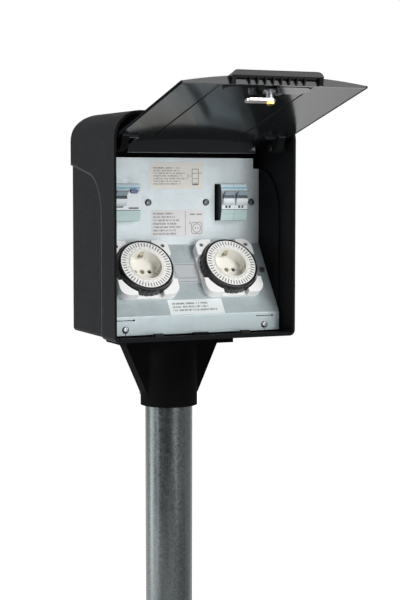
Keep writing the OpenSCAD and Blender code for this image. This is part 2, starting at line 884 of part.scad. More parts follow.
module toggle(x) {
    translate([x - toggle_w / 2, toggle_y, toggle_z]) rotate([0, 90, 0])
        cylinder(r = toggle_r, h = toggle_w);
    translate([x, toggle_y, toggle_z]) rotate([-toggle_lean, 0, 0]) along_x(toggle_w - 2 * lever_in) polygon([
        [0, -lever_t / 2], [0, lever_t / 2], [-toggle_reach + lever_tip, lever_t / 2 - lever_taper],
        [-toggle_reach, lever_t / 2 - lever_taper - lever_tip], [-toggle_reach, -lever_t / 2 + lever_tip]
    ]);
}

module button_outline(room) {
    translate([-button_w / 2 + button_h / 2, -button_h / 2 - room])
        square([button_w - button_h, button_h + 2 * room]);
    for (side = [-1, 1])
        translate([side * (button_w - button_h) / 2, 0]) circle(button_h / 2 + room);
}

module rcd_body() color("#c9d3d8") in_box() difference() {
    breaker(rcd_x, 2);
    translate([rcd_x + module_w / 2, nose_y + button_in + button_travel + toggle_room, button_z])
        rotate([90, 0, 0]) linear_extrude(far / 20) button_outline(toggle_room);
}

module mcb_left_body() color("#d3dade") in_box() breaker(mcb_left_x, 1);

module mcb_right_body() color("#d3dade") in_box() breaker(mcb_right_x, 1);

module rcd_lever() color("#7e8890") in_box() toggle(rcd_toggle_x);

module mcb_left_lever() color("#7e8890") in_box() toggle(mcb_left_x);

module mcb_right_lever() color("#7e8890") in_box() toggle(mcb_right_x);

module rcd_test_button() color("#2c5fb3") in_box()
    translate([rcd_x + module_w / 2, nose_y + button_in, button_z]) rotate([90, 0, 0])
        linear_extrude(button_in + button_out) button_outline(0);

// Supply terminal and earth bar

// Places of the screws that hold terminal and bar, pointing out of the wall
module terminal_screw_places() {
    for (side = [-1, 1]) {
        translate([side * (terminal_half + fix_out), shell_back_in, terminal_z]) rotate([90, 0, 0]) children();
        translate([side * (bar_half - fix_out), shell_back_in, bar_z]) rotate([90, 0, 0]) children();
    }
}

module supply_terminal() color("#d9d4c6") in_box() difference() {
    union() {
        translate([-terminal_half, shell_back_in - terminal_d, terminal_z - terminal_h / 2])
            cube([2 * terminal_half, terminal_d, terminal_h]);
        translate([-terminal_half - 2 * fix_out, shell_back_in - fix_t, terminal_z - fix_h / 2])
            cube([2 * terminal_half + 4 * fix_out, fix_t, fix_h]);
    }
    for (i = [0 : terminal_ways - 1]) {
        x = (i - (terminal_ways - 1) / 2) * terminal_pitch;
        translate([x, shell_back_in - terminal_d / 2, terminal_z - terminal_h])
            cylinder(r = terminal_wire_r, h = 2 * terminal_h);
        translate([x, shell_back_in - terminal_d - 1, terminal_z]) rotate([-90, 0, 0])
            cylinder(r = terminal_drive_r, h = terminal_drive_d + 1);
    }
    terminal_screw_places() translate([0, 0, -1]) cylinder(r = shank_r, h = fix_t + 2);
}

module earth_bar() color("#c5a253") in_box() difference() {
    translate([-bar_half, shell_back_in - bar_d, bar_z - bar_h / 2]) cube([2 * bar_half, bar_d, bar_h]);
    for (i = [-2 : 2]) translate([i * bar_pitch, shell_back_in - bar_d - 1, bar_z]) rotate([-90, 0, 0])
        cylinder(r = bar_hole_r, h = bar_d - bar_skin + 1);
    terminal_screw_places() translate([0, 0, -1]) cylinder(r = shank_r, h = bar_d + 2);
}

module terminal_screws() color("#b9bbbd") in_box() for (side = [-1, 1]) {
    translate([side * (terminal_half + fix_out), shell_back_in - fix_t, terminal_z]) rotate([90, 0, 0])
        sheet_screw(fix_t + wall - screw_skin);
    translate([side * (bar_half - fix_out), shell_back_in - bar_d, bar_z]) rotate([90, 0, 0])
        sheet_screw(bar_d + wall - screw_skin);
}

// Timers, in the slope's frame

module at_timers(side) {
    on_slope(side * timer_x, timer_s) children();
}

// Screws at the upper corners of a timer's base
module pad_screw_places() {
    for (side = [-1, 1]) translate([side * pad_screw, pad_screw, 0]) children();
}

module timer_base(side) color("#e6e4dc") at_timers(side) difference() {
    round_plate(timer_side, timer_corner_r, pad_h);
    translate([0, 0, pad_floor]) cylinder(r = pocket_r, h = pad_h);
    translate([0, 0, -1]) cylinder(r = well_out_r, h = pad_h);
    // Finger cuts between the pads, so that the dial can be gripped
    for (turn = [0, 90]) rotate([0, 0, turn])
        translate([-timer_side, -grip_cut / 2, pad_floor]) cube([2 * timer_side, grip_cut, pad_h]);
    pad_screw_places() {
        translate([0, 0, -1]) cylinder(r = shank_r, h = pad_h + 2);
        translate([0, 0, pad_h - pad_sink]) cylinder(r = pad_head_r, h = pad_sink + 1);
    }
}

module timer_case(side) color("#d5d2c8") at_timers(side) difference() {
    translate([0, 0, case_top - case_d]) round_plate(case_side, timer_corner_r / 2, case_d);
    translate([0, 0, well_foot]) cylinder(r = well_out_r, h = case_d);
    for (x = [-1, 1]) translate([x * pin_pitch / 2, 0, well_foot - sleeve_len])
        cylinder(r = sleeve_r, h = case_d);
    pad_screw_places() translate([0, 0, case_top - pad_thread - 1]) cylinder(r = shank_r, h = pad_thread + 2);
}

module timer_screws() color("#8b8d8f") for (side = [-1, 1]) at_timers(side) pad_screw_places()
    translate([0, 0, pad_h - pad_sink])
        sheet_screw(pad_h - pad_sink + sheet + pad_thread, pad_head_r, pad_head_h);

module earth_slots(room) {
    for (side = [-1, 1])
        translate([-clip_w / 2 - room, side * (well_r + slot_off) - slot_d / 2, well_base])
            cube([clip_w + 2 * room, slot_d, clip_top + room - well_base]);
}

module socket_insert(side) color("#eae5d6") at_timers(side) difference() {
    translate([0, 0, well_foot]) cylinder(r = well_out_r, h = well_rim - well_foot);
    translate([0, 0, well_base]) cylinder(r = well_r, h = well_depth + 1);
    earth_slots(slot_room);
    for (x = [-1, 1]) {
        translate([x * pin_pitch / 2, 0, well_foot - 1]) cylinder(r = pin_hole_r, h = far / 10);
        translate([x * pin_pitch / 2, 0, well_foot - 1])
            cylinder(r = sleeve_r, h = well_base - well_floor - well_foot + 1);
    }
    // Middle screw, with its head sunk below the well's floor
    translate([0, 0, well_foot - 1]) cylinder(r = shank_r, h = far / 10);
    translate([0, 0, centre_seat]) cylinder(r = centre_head_r + slot_room, h = far / 10);
}

module socket_screws() color("#9a9c9e") for (side = [-1, 1]) at_timers(side)
    translate([0, 0, centre_seat]) sheet_screw(centre_seat - well_foot, centre_head_r, centre_head_h);

module earth_clips(side) color("#c9b98a") at_timers(side) for (end = [-1, 1])
    translate([-clip_w / 2, end * (well_r + clip_gap + clip_t / 2) - clip_t / 2, well_base])
        cube([clip_w, clip_t, clip_top - well_base]);

module contact_sleeves() color("#c7a14e") for (side = [-1, 1], x = [-1, 1]) at_timers(side)
    translate([x * pin_pitch / 2, 0, well_base - well_floor - sleeve_len]) difference() {
        cylinder(r = sleeve_r, h = sleeve_len);
        translate([0, 0, sleeve_end]) cylinder(r = pin_hole_r, h = sleeve_len);
    }

module dial_ring(side) color("#141416") at_timers(side) difference() {
    rotate_extrude() polygon([
        [well_out_r + dial_room, pad_floor + base_room], [ring_r, pad_floor + base_room],
        [ring_r, ring_front - ring_shoulder], [ring_r - ring_round, ring_front - ring_round],
        [ring_r - ring_bevel, ring_front],
        [face_r, ring_front], [face_r, ring_front - face_t], [well_out_r + dial_room, ring_front - face_t]
    ]);
    // Grip notches
    for (i = [0 : ring_notches - 1]) rotate([0, 0, i * 360 / ring_notches])
        translate([ring_r + notch_out, 0, pad_floor]) cylinder(r = notch_r, h = ring_front);
}

module dial_face(side) color("#ecebe4") at_timers(side) translate([0, 0, ring_front - face_t]) difference() {
    cylinder(r = face_r, h = face_t);
    translate([0, 0, -1]) cylinder(r = well_out_r + dial_room, h = face_t + 2);
}

module timer_base_left() timer_base(-1);
module timer_base_right() timer_base(1);
module timer_case_left() timer_case(-1);
module timer_case_right() timer_case(1);
module socket_insert_left() socket_insert(-1);
module socket_insert_right() socket_insert(1);
module earth_clips_left() earth_clips(-1);
module earth_clips_right() earth_clips(1);
module dial_ring_left() dial_ring(-1);
module dial_ring_right() dial_ring(1);
module dial_face_left() dial_face(-1);
module dial_face_right() dial_face(1);

// Lid, in its own frame: a is the distance from the hinge towards the free edge

// The space under the crowned skin, between two distances from the hinge
module crowned(inset, a0, a1, half, low) {
    intersection() {
        translate([0, -a0, crown_axis]) rotate([90, 0, 0])
            cylinder(r = crown_r - inset, h = a1 - a0, $fn = 720);
        translate([-half, -a1, low]) cube([2 * half, a1 - a0, far / 5]);
    }
}

// A bar with round ends, across the lid
module round_bar(half, a0, a1, h) {
    r = (a1 - a0) / 2;
    translate([-half + r, -a1, 0]) cube([2 * (half - r), 2 * r, h]);
    for (side = [-1, 1]) translate([side * (half - r), -(a0 + a1) / 2, 0]) cylinder(r = r, h = h);
}

module lid_shell() color("#2e3033") on_lid() difference() {
    union() {
        difference() {
            union() {
                crowned(0, lid_shoulder, lid_reach, lid_half_w, rim_n);
                crowned(0, -lid_back, lid_shoulder + eps, lid_back_half_w, rim_n);
            }
            crowned(skin_t, lid_shoulder + skin_t, lid_reach - skin_t, lid_half_w - skin_t, rim_n - 1);
            crowned(skin_t, skin_t - lid_back, lid_shoulder + skin_t + eps,
                    lid_back_half_w - skin_t, rim_n - 1);
        }
        // Fine ribs along the inside
        for (side = [-1, 1]) intersection() {
            difference() {
                crowned(skin_t - 0.5, 6, boss_a1, lid_half_w, rim_n);
                crowned(skin_t + rib_h, 0, lid_reach, lid_half_w, rim_n - 1);
            }
            translate([side * rib_x - rib_w / 2, -lid_reach, 0]) cube([rib_w, lid_reach, far / 5]);
        }
        // Lip across the rear end
        translate([-lid_back_half_w + rear_lip_in, lid_back - skin_t - rear_lip_in, rim_n - rear_lip_h])
            cube([2 * (lid_back_half_w - rear_lip_in), skin_t, rear_lip_h + skin_edge]);
        // Boss behind the handle
        intersection() {
            crowned(skin_t / 2, 0, lid_reach - skin_t / 2, lid_half_w, rim_n);
            translate([0, 0, boss_n]) round_bar(boss_half_w, boss_a0, boss_a1, far / 5);
        }
        // Hinge ears
        for (side = [-1, 1]) translate([side * (ear_x0 + ear_t / 2), 0, 0]) along_x(ear_t) {
            circle(ear_r);
            polygon([
                [0, -ear_r], [-lid_shoulder, -ear_r], [-lid_shoulder - ear_root, rim_n],
                [-lid_shoulder - ear_root, rim_n + ear_web], [-lid_shoulder, rim_n + ear_web],
                [-lid_shoulder, ear_r], [0, ear_r]
            ]);
        }
    }
    translate([-far / 2, 0, 0]) rotate([0, 90, 0]) cylinder(r = pin_r + pin_room, h = far);
    translate([0, -lock_a, 0]) cylinder(r = barrel_r, h = far / 5);
    handle_screw_places() cylinder(r = shank_r, h = far / 5);
}

module handle_screw_places() {
    for (side = [-1, 1]) translate([side * handle_screw_x, -handle_screw_a, boss_n]) children();
}

module handle_outline() {
    foot = crown_top + handle_foot_h;
    rise = lock_a + handle_rise_in;
    crest = rise + handle_rise_run;
    polygon([
        [-handle_start, rim_n], [-handle_start, crown_top], [-handle_start - handle_foot_run, foot],
        [-rise, foot], [-crest, handle_top - handle_crest_drop], [-crest - handle_crest_run, handle_top],
        [-handle_tip + handle_edge, handle_top], [-handle_tip, handle_top - handle_edge],
        [-handle_tip, handle_top - grip_d], [-lid_reach - grip_under, rim_n + grip_d],
        [-lid_reach, rim_n + grip_d - grip_rise]
    ]);
}

// One upright web under the handle, from the lid's end wall out to the grip
module handle_web(x, width, low, out) {
    translate([x, 0, 0]) along_x(width) polygon([
        [-lid_reach - seat_room, low], [-lid_reach - out, low], [-handle_tip + web_in, handle_top - web_low],
        [-handle_tip + web_in, handle_top - web_high], [-lid_reach - seat_room, handle_top - web_high]
    ]);
}

module lid_handle() color("#101113") on_lid() difference() {
    intersection() {
        union() {
            along_x(2 * handle_half_w) handle_outline();
            for (i = [0 : fin_count - 1])
                handle_web((i - (fin_count - 1) / 2) * fin_pitch, fin_t, rim_n + fin_low, fin_out);
            for (side = [-1, 1])
                handle_web(side * (handle_half_w - end_web_w / 2), end_web_w, rim_n, end_web_out);
        }
        along_y(-far, 2 * far) arched_rect(handle_half_w, 0, handle_top, 1, handle_corner_r);
    }
    crowned(-seat_room, 0, lid_reach + seat_room, far, 0);
    translate([0, -lock_a, 0]) cylinder(r = barrel_head_r + barrel_room, h = far / 5);
    handle_screw_places() cylinder(r = shank_r, h = crown_top - boss_n + handle_thread);
}

module handle_screws() color("#8e9194") on_lid() handle_screw_places() rotate([180, 0, 0])
    sheet_screw(crown_top - boss_n + handle_thread - seat_room);

module lock_barrel() color("#b7babd") on_lid() translate([0, -lock_a, 0]) difference() {
    union() {
        translate([0, 0, boss_n - nut_h - barrel_tail])
            cylinder(r = barrel_r, h = crown_top - boss_n + nut_h + barrel_tail + 2 * seat_room);
        translate([0, 0, crown_top + seat_room]) cylinder(r = barrel_head_r, h = barrel_head_h);
    }
    cylinder(r = spindle_r + pin_room, h = far / 5);
}

module lock_nut() color("#a9acaf") on_lid() translate([0, -lock_a, boss_n - nut_h]) difference() {
    cylinder(r = nut_r, h = nut_h, $fn = 6);
    translate([0, 0, -1]) cylinder(r = barrel_r, h = nut_h + 2);
}

module lock_spindle() color("#c3c6c9") on_lid() translate([0, -lock_a, 0]) difference() {
    translate([0, 0, cam_n]) cylinder(r = spindle_r, h = crown_top + spindle_out - cam_n);
    translate([-key_slot_half, -key_slot_w / 2, crown_top]) cube([2 * key_slot_half, key_slot_w, through]);
    translate([0, 0, cam_n - 1]) cylinder(r = cam_screw_r, h = cam_screw_in + 2);
}

module lock_cam() color("#d0cccb") on_lid() translate([0, -lock_a, cam_n - cam_t]) difference() {
    union() {
        cylinder(r = cam_w / 2, h = cam_t);
        translate([-cam_reach + cam_nose, -cam_w / 2, 0]) cube([cam_reach - cam_nose, cam_w, cam_t]);
        translate([-cam_reach, -cam_w / 2 + cam_nose, 0]) cube([2 * cam_nose, cam_w - 2 * cam_nose, cam_t]);
    }
    translate([0, 0, -1]) cylinder(r = cam_screw_r, h = cam_t + 2);
}

module cam_screw() color("#c09a4a") on_lid() translate([0, -lock_a, cam_n - cam_t]) {
    translate([0, 0, -eps]) cylinder(r = cam_screw_r, h = cam_t + cam_screw_in + eps);
    translate([0, 0, -cam_screw_head]) cylinder(r = cam_screw_head_r, h = cam_screw_head, $fn = 6);
}

post_tube();
neck();
neck_clamp_screws();
neck_bolts();
rear_shell();
front_hood();
shell_screws();
cable_grommet();
hinge_pins();
lid_buffers();
din_rail();
rail_screws();
panel_pillars();
front_panel();
pillar_screws();
flange_screws();
slope_screws();
rcd_body();
mcb_left_body();
mcb_right_body();
supply_terminal();
earth_bar();
terminal_screws();
timer_base_left();
timer_base_right();
timer_case_left();
timer_case_right();
timer_screws();
socket_insert_left();
socket_insert_right();
socket_screws();
earth_clips_left();
earth_clips_right();
contact_sleeves();
lid_shell();
lid_handle();
handle_screws();
lock_barrel();
lock_nut();
lock_spindle();
lock_cam();
cam_screw();
dial_ring_left();
dial_face_left();
dial_ring_right();
dial_face_right();
rcd_lever();
mcb_left_lever();
mcb_right_lever();
rcd_test_button();
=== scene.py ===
import json
import math
from functools import partial

import bpy
from mathutils import Matrix, Vector


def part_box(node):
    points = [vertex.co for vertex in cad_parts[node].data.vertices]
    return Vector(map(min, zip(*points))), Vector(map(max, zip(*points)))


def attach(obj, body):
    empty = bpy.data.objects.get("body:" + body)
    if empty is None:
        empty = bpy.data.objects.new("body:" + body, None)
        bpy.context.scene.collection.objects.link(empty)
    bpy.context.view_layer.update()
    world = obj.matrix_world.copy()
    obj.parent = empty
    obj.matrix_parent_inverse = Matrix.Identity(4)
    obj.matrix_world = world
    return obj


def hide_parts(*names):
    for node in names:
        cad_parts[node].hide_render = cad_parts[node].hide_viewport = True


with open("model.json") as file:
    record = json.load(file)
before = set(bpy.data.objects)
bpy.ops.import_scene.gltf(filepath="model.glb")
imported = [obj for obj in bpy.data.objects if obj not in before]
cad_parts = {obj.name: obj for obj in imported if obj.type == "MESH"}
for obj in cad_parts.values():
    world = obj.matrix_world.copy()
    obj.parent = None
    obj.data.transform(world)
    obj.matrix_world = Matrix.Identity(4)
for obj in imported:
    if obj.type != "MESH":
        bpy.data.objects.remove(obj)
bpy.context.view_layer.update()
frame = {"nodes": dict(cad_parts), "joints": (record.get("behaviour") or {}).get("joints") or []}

# Units and the places that come from the frame
MM = 0.001
FULL_TURN = 2 * math.pi
HALF_TURN = math.pi
QUARTER_TURN = math.pi / 2
SIDES = ("left", "right")
NODES = frame["nodes"]
JOINTS = {joint["name"]: joint for joint in frame["joints"]}
HOOD_LOW, HOOD_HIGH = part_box("front_hood")
PANEL_LOW, PANEL_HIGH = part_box("front_panel")
LID_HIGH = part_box("lid_shell")[1]
ACROSS = Vector((1, 0, 0))
UPRIGHT = Vector((0, 0, 1))
FORWARD = Vector((0, -1, 0))
SLOPE_OUT = Vector(JOINTS["timer_left_turn"]["axis"])
SLOPE_UP = Vector((0, SLOPE_OUT.z, -SLOPE_OUT.y))
DIAL_POINT = {side: Vector(JOINTS[f"timer_{side}_turn"]["pos_m"]) for side in SIDES}
LID_HINGE = Vector(JOINTS["lid_hinge"]["pos_m"])
LID_OUT = Vector(JOINTS["lock_turn"]["axis"])
LID_ALONG = ACROSS.cross(LID_OUT)

# Sheet panel, in millimetres from the box's middle and lower edge, and how far painted shade darkens its
# foot
SHEET = 1.5
PILLAR_X = (-102, -39, 39, 102)
PILLAR_Z = 162
FLANGE_X = (-92, 92)
FLANGE_Z = 12
SHADE_TOP = 105
SHADE_FOOT = 22
SHADE_SHARE = 0.45

# Lid, in millimetres, and what tells its matt faces, the painted shade on its side rims and the painted
# light on its free end from the glossy underside
LID_RIM = 5.2
RIM_SHADE_WIDTH = 2.2
EAR_X = 92
OUTER_FACE = 0.6
FRONT_LIGHT_SHARE = 0.75
MATT_MORE = 0.7

# Seam of the hood, in millimetres from its front and lower edge, with the slant in degrees, and the width
# and share of the painted highlight along it
SEAM_Y = 44
SEAM_R = 48
SEAM_BEND_Z = 148.4
SEAM_SLANT = 10.5
SEAM_EDGE = 2.6
SEAM_HIGHLIGHT_SHARE = 0.55

# Heights of the breakers' printed band and line, covers, the line of painted shade along the covers' top and
# the lever's painted lit crest and shaded underside; a flank, painted in shade, is told by its normal
BAND_Z = (177.5, 190)
LINE_Z = (179.2, 180.6)
COVER_Z = (120, 152.4)
COVER_SHADE_Z = (152.4, 153.3)
LEVER_SHADE_Z = (166.8, 170.6)
LEVER_LIT_Z = (170.6, 185)
SHADE_FLANK_NORMAL = 0.7

# Spans of noise that become dust, rubs and zinc bands of drawn streaks with painted reflection, and how
# streaks, bands and crystals are drawn out
DUST_SPAN = (0.6, 0.78)
RUB_SPAN = (0.52, 0.72)
STREAK_SHEEN_SPAN = (0.34, 0.66)
STREAK_STRETCH = (0.35, 1.0, 2.4)
BAND_SHIFT = (0.186, 0.0, 0.0)
BAND_STRETCH = (1.0, 1.0, 0.04)
CRYSTAL_WARP = 0.012

# Sockets of the Mix node by number, because its kinds share their names: first, second and outcome
MIX_SOCKETS = {"VECTOR": (4, 5, 1), "RGBA": (6, 7, 2)}

# Made-up words: parts of a letter, and where a row, a letter or a stroke is printed or left blank
LETTER_COLUMNS = 3.0
LETTER_LINES = 6.0
ROW_TOP = 0.22
ROW_FOOT = 0.76
LETTER_FILL = 0.8
WORD_GAP = 0.17
STROKE_GAP = 0.3
RAGGED = 0.4

# How far cloud, rubs and dust change a finish; each bump is a strength and a depth in millimetres
PALE_GAIN = 1.6
PALE_LIFT = 0.012
CLOUD_IN_PLASTIC = 0.35
CLOUD_IN_GLOSS = 0.08
RUB_IN_GLOSS = -0.09
MATT_START = 0.03
COAT_BLUR = 0.12
MOULD_BUMP = 0.35
ZINC_BUMP = (0.3, 0.04)
TARNISH_SHARE = 0.6
RUB_IN_PLATING = 0.2
PLATED_BUMP = (0.2, 0.03)
RUB_IN_CASE = -0.1
CASE_ROUGH = 0.42
LEVER_ROUGH = 0.4
CASE_BUMP = (0.2, 0.02)
AGED = 0.9
AGED_SHARE = 0.4
CLOUD_IN_FILM = 0.2
FILM_ROUGH = 0.35
FILM_BUMP = (0.15, 0.02)

# Printed films and ink, in millimetres
FILM = 0.12
INK = 0.05
CORNER_STEPS = 6

# Notes: place on the upright sheet or the slant, size, and made-up rows in the note's own millimetres
NOTE_CORNER = 1.0
BREAKER_NOTE_AT = (0, 195)
BREAKER_NOTE_SIZE = (72, 32)
BREAKER_ROWS = dict(rows=7.0, pitch=3.25, length=46.0, letter=0.95, left=-32.0, top=11.0)
BREAKER_SIGN_AT = (24.5, -0.5)
SOCKET_NOTE_AT = (1, 136)
SOCKET_NOTE_SIZE = (72, 33)
SOCKET_ROWS = dict(rows=7.0, pitch=4.15, length=38.0, letter=0.95, left=-33.4, top=14.2)
SOCKET_SIGN_AT = (25.5, -6.0)
SAFETY_NOTE_AT = (3, -50.5)
SAFETY_NOTE_SIZE = (72, 21)
SAFETY_ROWS = dict(rows=3.0, pitch=4.6, length=62.0, letter=1.1, left=-31.0, top=7.2)
PLATE_AT = (1.5, -2.5)
PLATE_SIZE = (33, 29)

# Breaker prints: middles of the two single-pole breakers, and places on the noses
MCB_X = (63.1, 80.9)
MCB_MARKS_Z = 156.4
RED_LINE_AT = (-80.8, 174)
RCD_MARKS_AT = (-81.5, 157)

# Dials, in millimetres: their joints lie a lift above the slant, and the rim line is almost a full round
TICKS = 48
HOURS = 24
HOUR_SHIFT = 0.5
TICK_R = 28.3
TICK_LENGTH = 5.2
TICK_WIDTH = 1.1
NUMBER_R = 23.7
NUMBER_SIZE = 2.0
RIM_LINE_R = 21.4
RIM_LINE = 0.7
RIM_ROUND = 0.999
ROUND_STEPS = 24
DIAL_LIFT = 10

# Socket wells, with their earth springs and guide keys
WELL_R = 19.75
WELL_DEPTH = 16.6
SPRING_WIDTH = 5.2
SPRING_LENGTH = 12.5
SPRING_THICK = 0.6
SPRING_COLUMNS = 3
SPRING_ROWS = 16
SPRING_SEAT = 1.0
SPRING_LIFT = 6.6
BOW_MIDDLE = 1.0
BOW_HEIGHT = 3.2
BOW_REACH = 5.4
KEY_SIZE = (4.6, 2.2)
KEY_SINK = 0.7
KEY_CORNER = 0.6
KEY_HEIGHT = 13

# Screw heads: size in millimetres, dome and cross recess as shares of it
HEAD_R = 4.2
HEAD_H = 2.6
HEAD_SIDES = 40
HEAD_TOP = 0.9
DOME_SHARE = 0.8
DOME_STEPS = 5
RECESS_LONG = 1.1
RECESS_WIDE = 0.3
RECESS_FLOOR = 0.45
SMOOTH_ANGLE = math.radians(35)

# Camera, fitted to the photograph: place in metres, angles in degrees, lens and sensor in millimetres
CAMERA_AT = (-0.7403, -1.73915, 1.1786)
CAMERA_PITCH = 85.56
CAMERA_ROLL = -0.04
CAMERA_YAW = -24.25
CAMERA_LENS = 90.18
CAMERA_SENSOR = 36
CAMERA_SIGHT = 100

# Studio, in metres: surround and floor, and the soft boxes' target, place, size and power
WHITE = (1, 1, 1, 1)
AMBIENT = 0.31
FLOOR_SIZE = 12
FLOOR_PAINT = (0.9, 0.9, 0.9, 1)
FLOOR_FADE = (0.8, 1.5)
FLOOR_GLOW = (0.26, 1.0)
TARGET = Vector((0, -0.06, 1.12))
SOFT_BOXES = {
    "key_right": ((1.4, -2.9, 2.75), (1.35, 1.35), 60),
    "side_left": ((-2.6, 0.4, 1.0), (2.4, 2.4), 110),
    "front_fill": ((0.7, -3.4, 1.15), (0.9, 1.3), 37),
    "top": ((-0.4, -0.8, 4.2), (2.2, 2.2), 22),
}


def display(red, green, blue):
    """A colour as it shows on screen, 0 to 255, turned into the linear values that shaders take."""
    def linear(value):
        """One channel of it."""
        value /= 255
        return value / 12.92 if value <= 0.04045 else ((value + 0.055) / 1.055) ** 2.4
    return (linear(red), linear(green), linear(blue), 1)


def stroke(x, y, width, height, corner=0.0, line=0.0):
    """One stroke of a print: middle, size and corner radius, and a line width if it is an outline."""
    return (x, y), (width, height), corner, line


# Line drawings and prints, in millimetres
BREAKER_SIGN = (
    stroke(0, 0, 9.2, 18, corner=0.8, line=0.6),
    stroke(0, 3.4, 8.8, 0.5),
    stroke(0, -3.2, 8.8, 0.5),
    stroke(0, -10.4, 8.2, 1.5),
    stroke(6.8, 3.8, 4.2, 0.6),
    stroke(-6.4, 0, 2.6, 0.6),
    stroke(-9.6, 1.2, 2.0, 0.8),
    stroke(-9.6, -1.2, 2.0, 0.8),
)
SOCKET_SIGN = (
    stroke(0, 0, 14.6, 14.6, corner=3.0, line=0.6),
    stroke(0, 0, 11.4, 11.4, corner=5.65, line=0.6),
    stroke(-1.8, 0, 1.4, 1.4, corner=0.65),
    stroke(1.8, 0, 1.4, 1.4, corner=0.65),
    stroke(-9.2, 5.4, 2.0, 0.7),
    stroke(-9.2, 7.4, 2.6, 0.7),
)
SOCKET_NOTE_LINES = (
    stroke(10.0, 0.5, 0.4, 30),
    stroke(19.5, 11.2, 7, 1.1, corner=0.3),
    stroke(28.8, 11.2, 8, 1.1, corner=0.3),
)
PLATE_LINES = (
    stroke(0, 0, 29, 25, corner=1.0, line=0.4),
    stroke(0, -7, 24, 0.5),
)
MCB_MARKS = (
    stroke(-2.4, 0, 2.8, 3.2, corner=0.5),
    stroke(2.0, 0, 2.8, 3.2, corner=0.5),
)
RED_LINE = (
    stroke(0, 0, 13, 1.2, corner=0.4),
)
RCD_MARKS = (
    stroke(0, 0, 9, 1.6, corner=0.4),
    stroke(18, -1.5, 13, 1.8, corner=0.4),
)


# Shader building

def connect(tree, socket, value):
    """Links an output to the socket, or writes a plain value into it."""
    if isinstance(value, bpy.types.NodeSocket):
        tree.links.new(value, socket)
    else:
        socket.default_value = value


def add(tree, kind, settings=None, **values):
    """A node of that kind, with its settings, and its inputs set or linked by name."""
    made = tree.nodes.new(kind)
    for name, value in (settings or {}).items():
        setattr(made, name, value)
    for name, value in values.items():
        connect(tree, made.inputs[name.replace("_", " ")], value)
    return made


def math_node(tree, operation, *values, clamp=False):
    """The outcome of a calculation with the values."""
    made = add(tree, "ShaderNodeMath", {"operation": operation, "use_clamp": clamp})
    for socket, value in zip(made.inputs, values):
        connect(tree, socket, value)
    return made.outputs[0]


def mix(tree, factor, first, second, kind="RGBA"):
    """The first colour or vector, turned into the second as far as the factor says."""
    start, end, outcome = MIX_SOCKETS[kind]
    made = add(tree, "ShaderNodeMix", {"data_type": kind}, Factor=factor)
    connect(tree, made.inputs[start], first)
    connect(tree, made.inputs[end], second)
    return made.outputs[outcome]


def spread(tree, value, span, onto=(0.0, 1.0)):
    """Stretches a span of the value onto another one, and holds it at the ends."""
    made = add(tree, "ShaderNodeMapRange", Value=value, From_Min=span[0], From_Max=span[1],
               To_Min=onto[0], To_Max=onto[1])
    return made.outputs[0]


def noise(tree, point, scale, **values):
    """Noise at a point."""
    return add(tree, "ShaderNodeTexNoise", Vector=point, Scale=scale, **values).outputs


def object_point(tree):
    """The place on the piece, in metres."""
    return tree.nodes.new("ShaderNodeTexCoord").outputs["Object"]


def parts_of(tree, vector):
    """The x, y and z of a vector."""
    return add(tree, "ShaderNodeSeparateXYZ", Vector=vector).outputs


def along(tree, vector, direction):
    """How far a vector goes in a direction."""
    dot = add(tree, "ShaderNodeVectorMath", {"operation": "DOT_PRODUCT"})
    connect(tree, dot.inputs[0], vector)
    dot.inputs[1].default_value = direction
    return dot.outputs["Value"]


def new_group(name, inputs, outputs):
    """An empty shader group that takes named numbers, with defaults, and puts out named ones."""
    group = bpy.data.node_groups.new(name, "ShaderNodeTree")
    for label, default in inputs.items():
        socket = group.interface.new_socket(label, in_out="INPUT", socket_type="NodeSocketFloat")
        socket.default_value = default
    for label in outputs:
        group.interface.new_socket(label, in_out="OUTPUT", socket_type="NodeSocketFloat")
    entry = group.nodes.new("NodeGroupInput")
    leave = group.nodes.new("NodeGroupOutput")
    return group, entry.outputs, leave.inputs


def use_group(tree, group, **values):
    """Places a group in a tree with its own values, and gives its outputs."""
    return add(tree, "ShaderNodeGroup", {"node_tree": group}, **values).outputs


def new_material(name, **constants):
    """A material with its plain values set on the shader's own sockets."""
    material = bpy.data.materials.new(name)
    material.use_nodes = True
    shader = material.node_tree.nodes["Principled BSDF"]
    for label, value in constants.items():
        shader.inputs[label.replace("_", " ")].default_value = value
    return material, material.node_tree, shader


def bump(tree, shader, height, strength, depth):
    """Raises the surface by a height; the depth is in millimetres."""
    made = add(tree, "ShaderNodeBump", Strength=strength, Distance=depth * MM, Height=height)
    connect(tree, shader.inputs["Normal"], made.outputs["Normal"])


# Shared effects

def make_fine_grain():
    """Spark-eroded mould grain with a slower cloud over it."""
    group, given, out = new_group("fine_grain", {"Scale": 2500.0, "Cloud": 14.0}, ("Height", "Cloud"))
    point = object_point(group)
    connect(group, out["Height"], noise(group, point, given["Scale"], Detail=3.0)[0])
    connect(group, out["Cloud"], noise(group, point, given["Cloud"], Detail=5.0)[0])
    return group


def make_handling_marks():
    """Dust specks and thin rubbed streaks."""
    group, given, out = new_group("handling_marks", {"Specks": 420.0, "Streaks": 60.0}, ("Dust", "Rub"))
    point = object_point(group)
    specks = noise(group, point, given["Specks"], Detail=4.0)
    drawn_out = add(group, "ShaderNodeMapping", Vector=point, Scale=STREAK_STRETCH)
    streaks = noise(group, drawn_out.outputs[0], given["Streaks"], Detail=6.0, Roughness=0.7)
    connect(group, out["Dust"], spread(group, specks[0], DUST_SPAN))
    connect(group, out["Rub"], spread(group, streaks[0], RUB_SPAN))
    return group


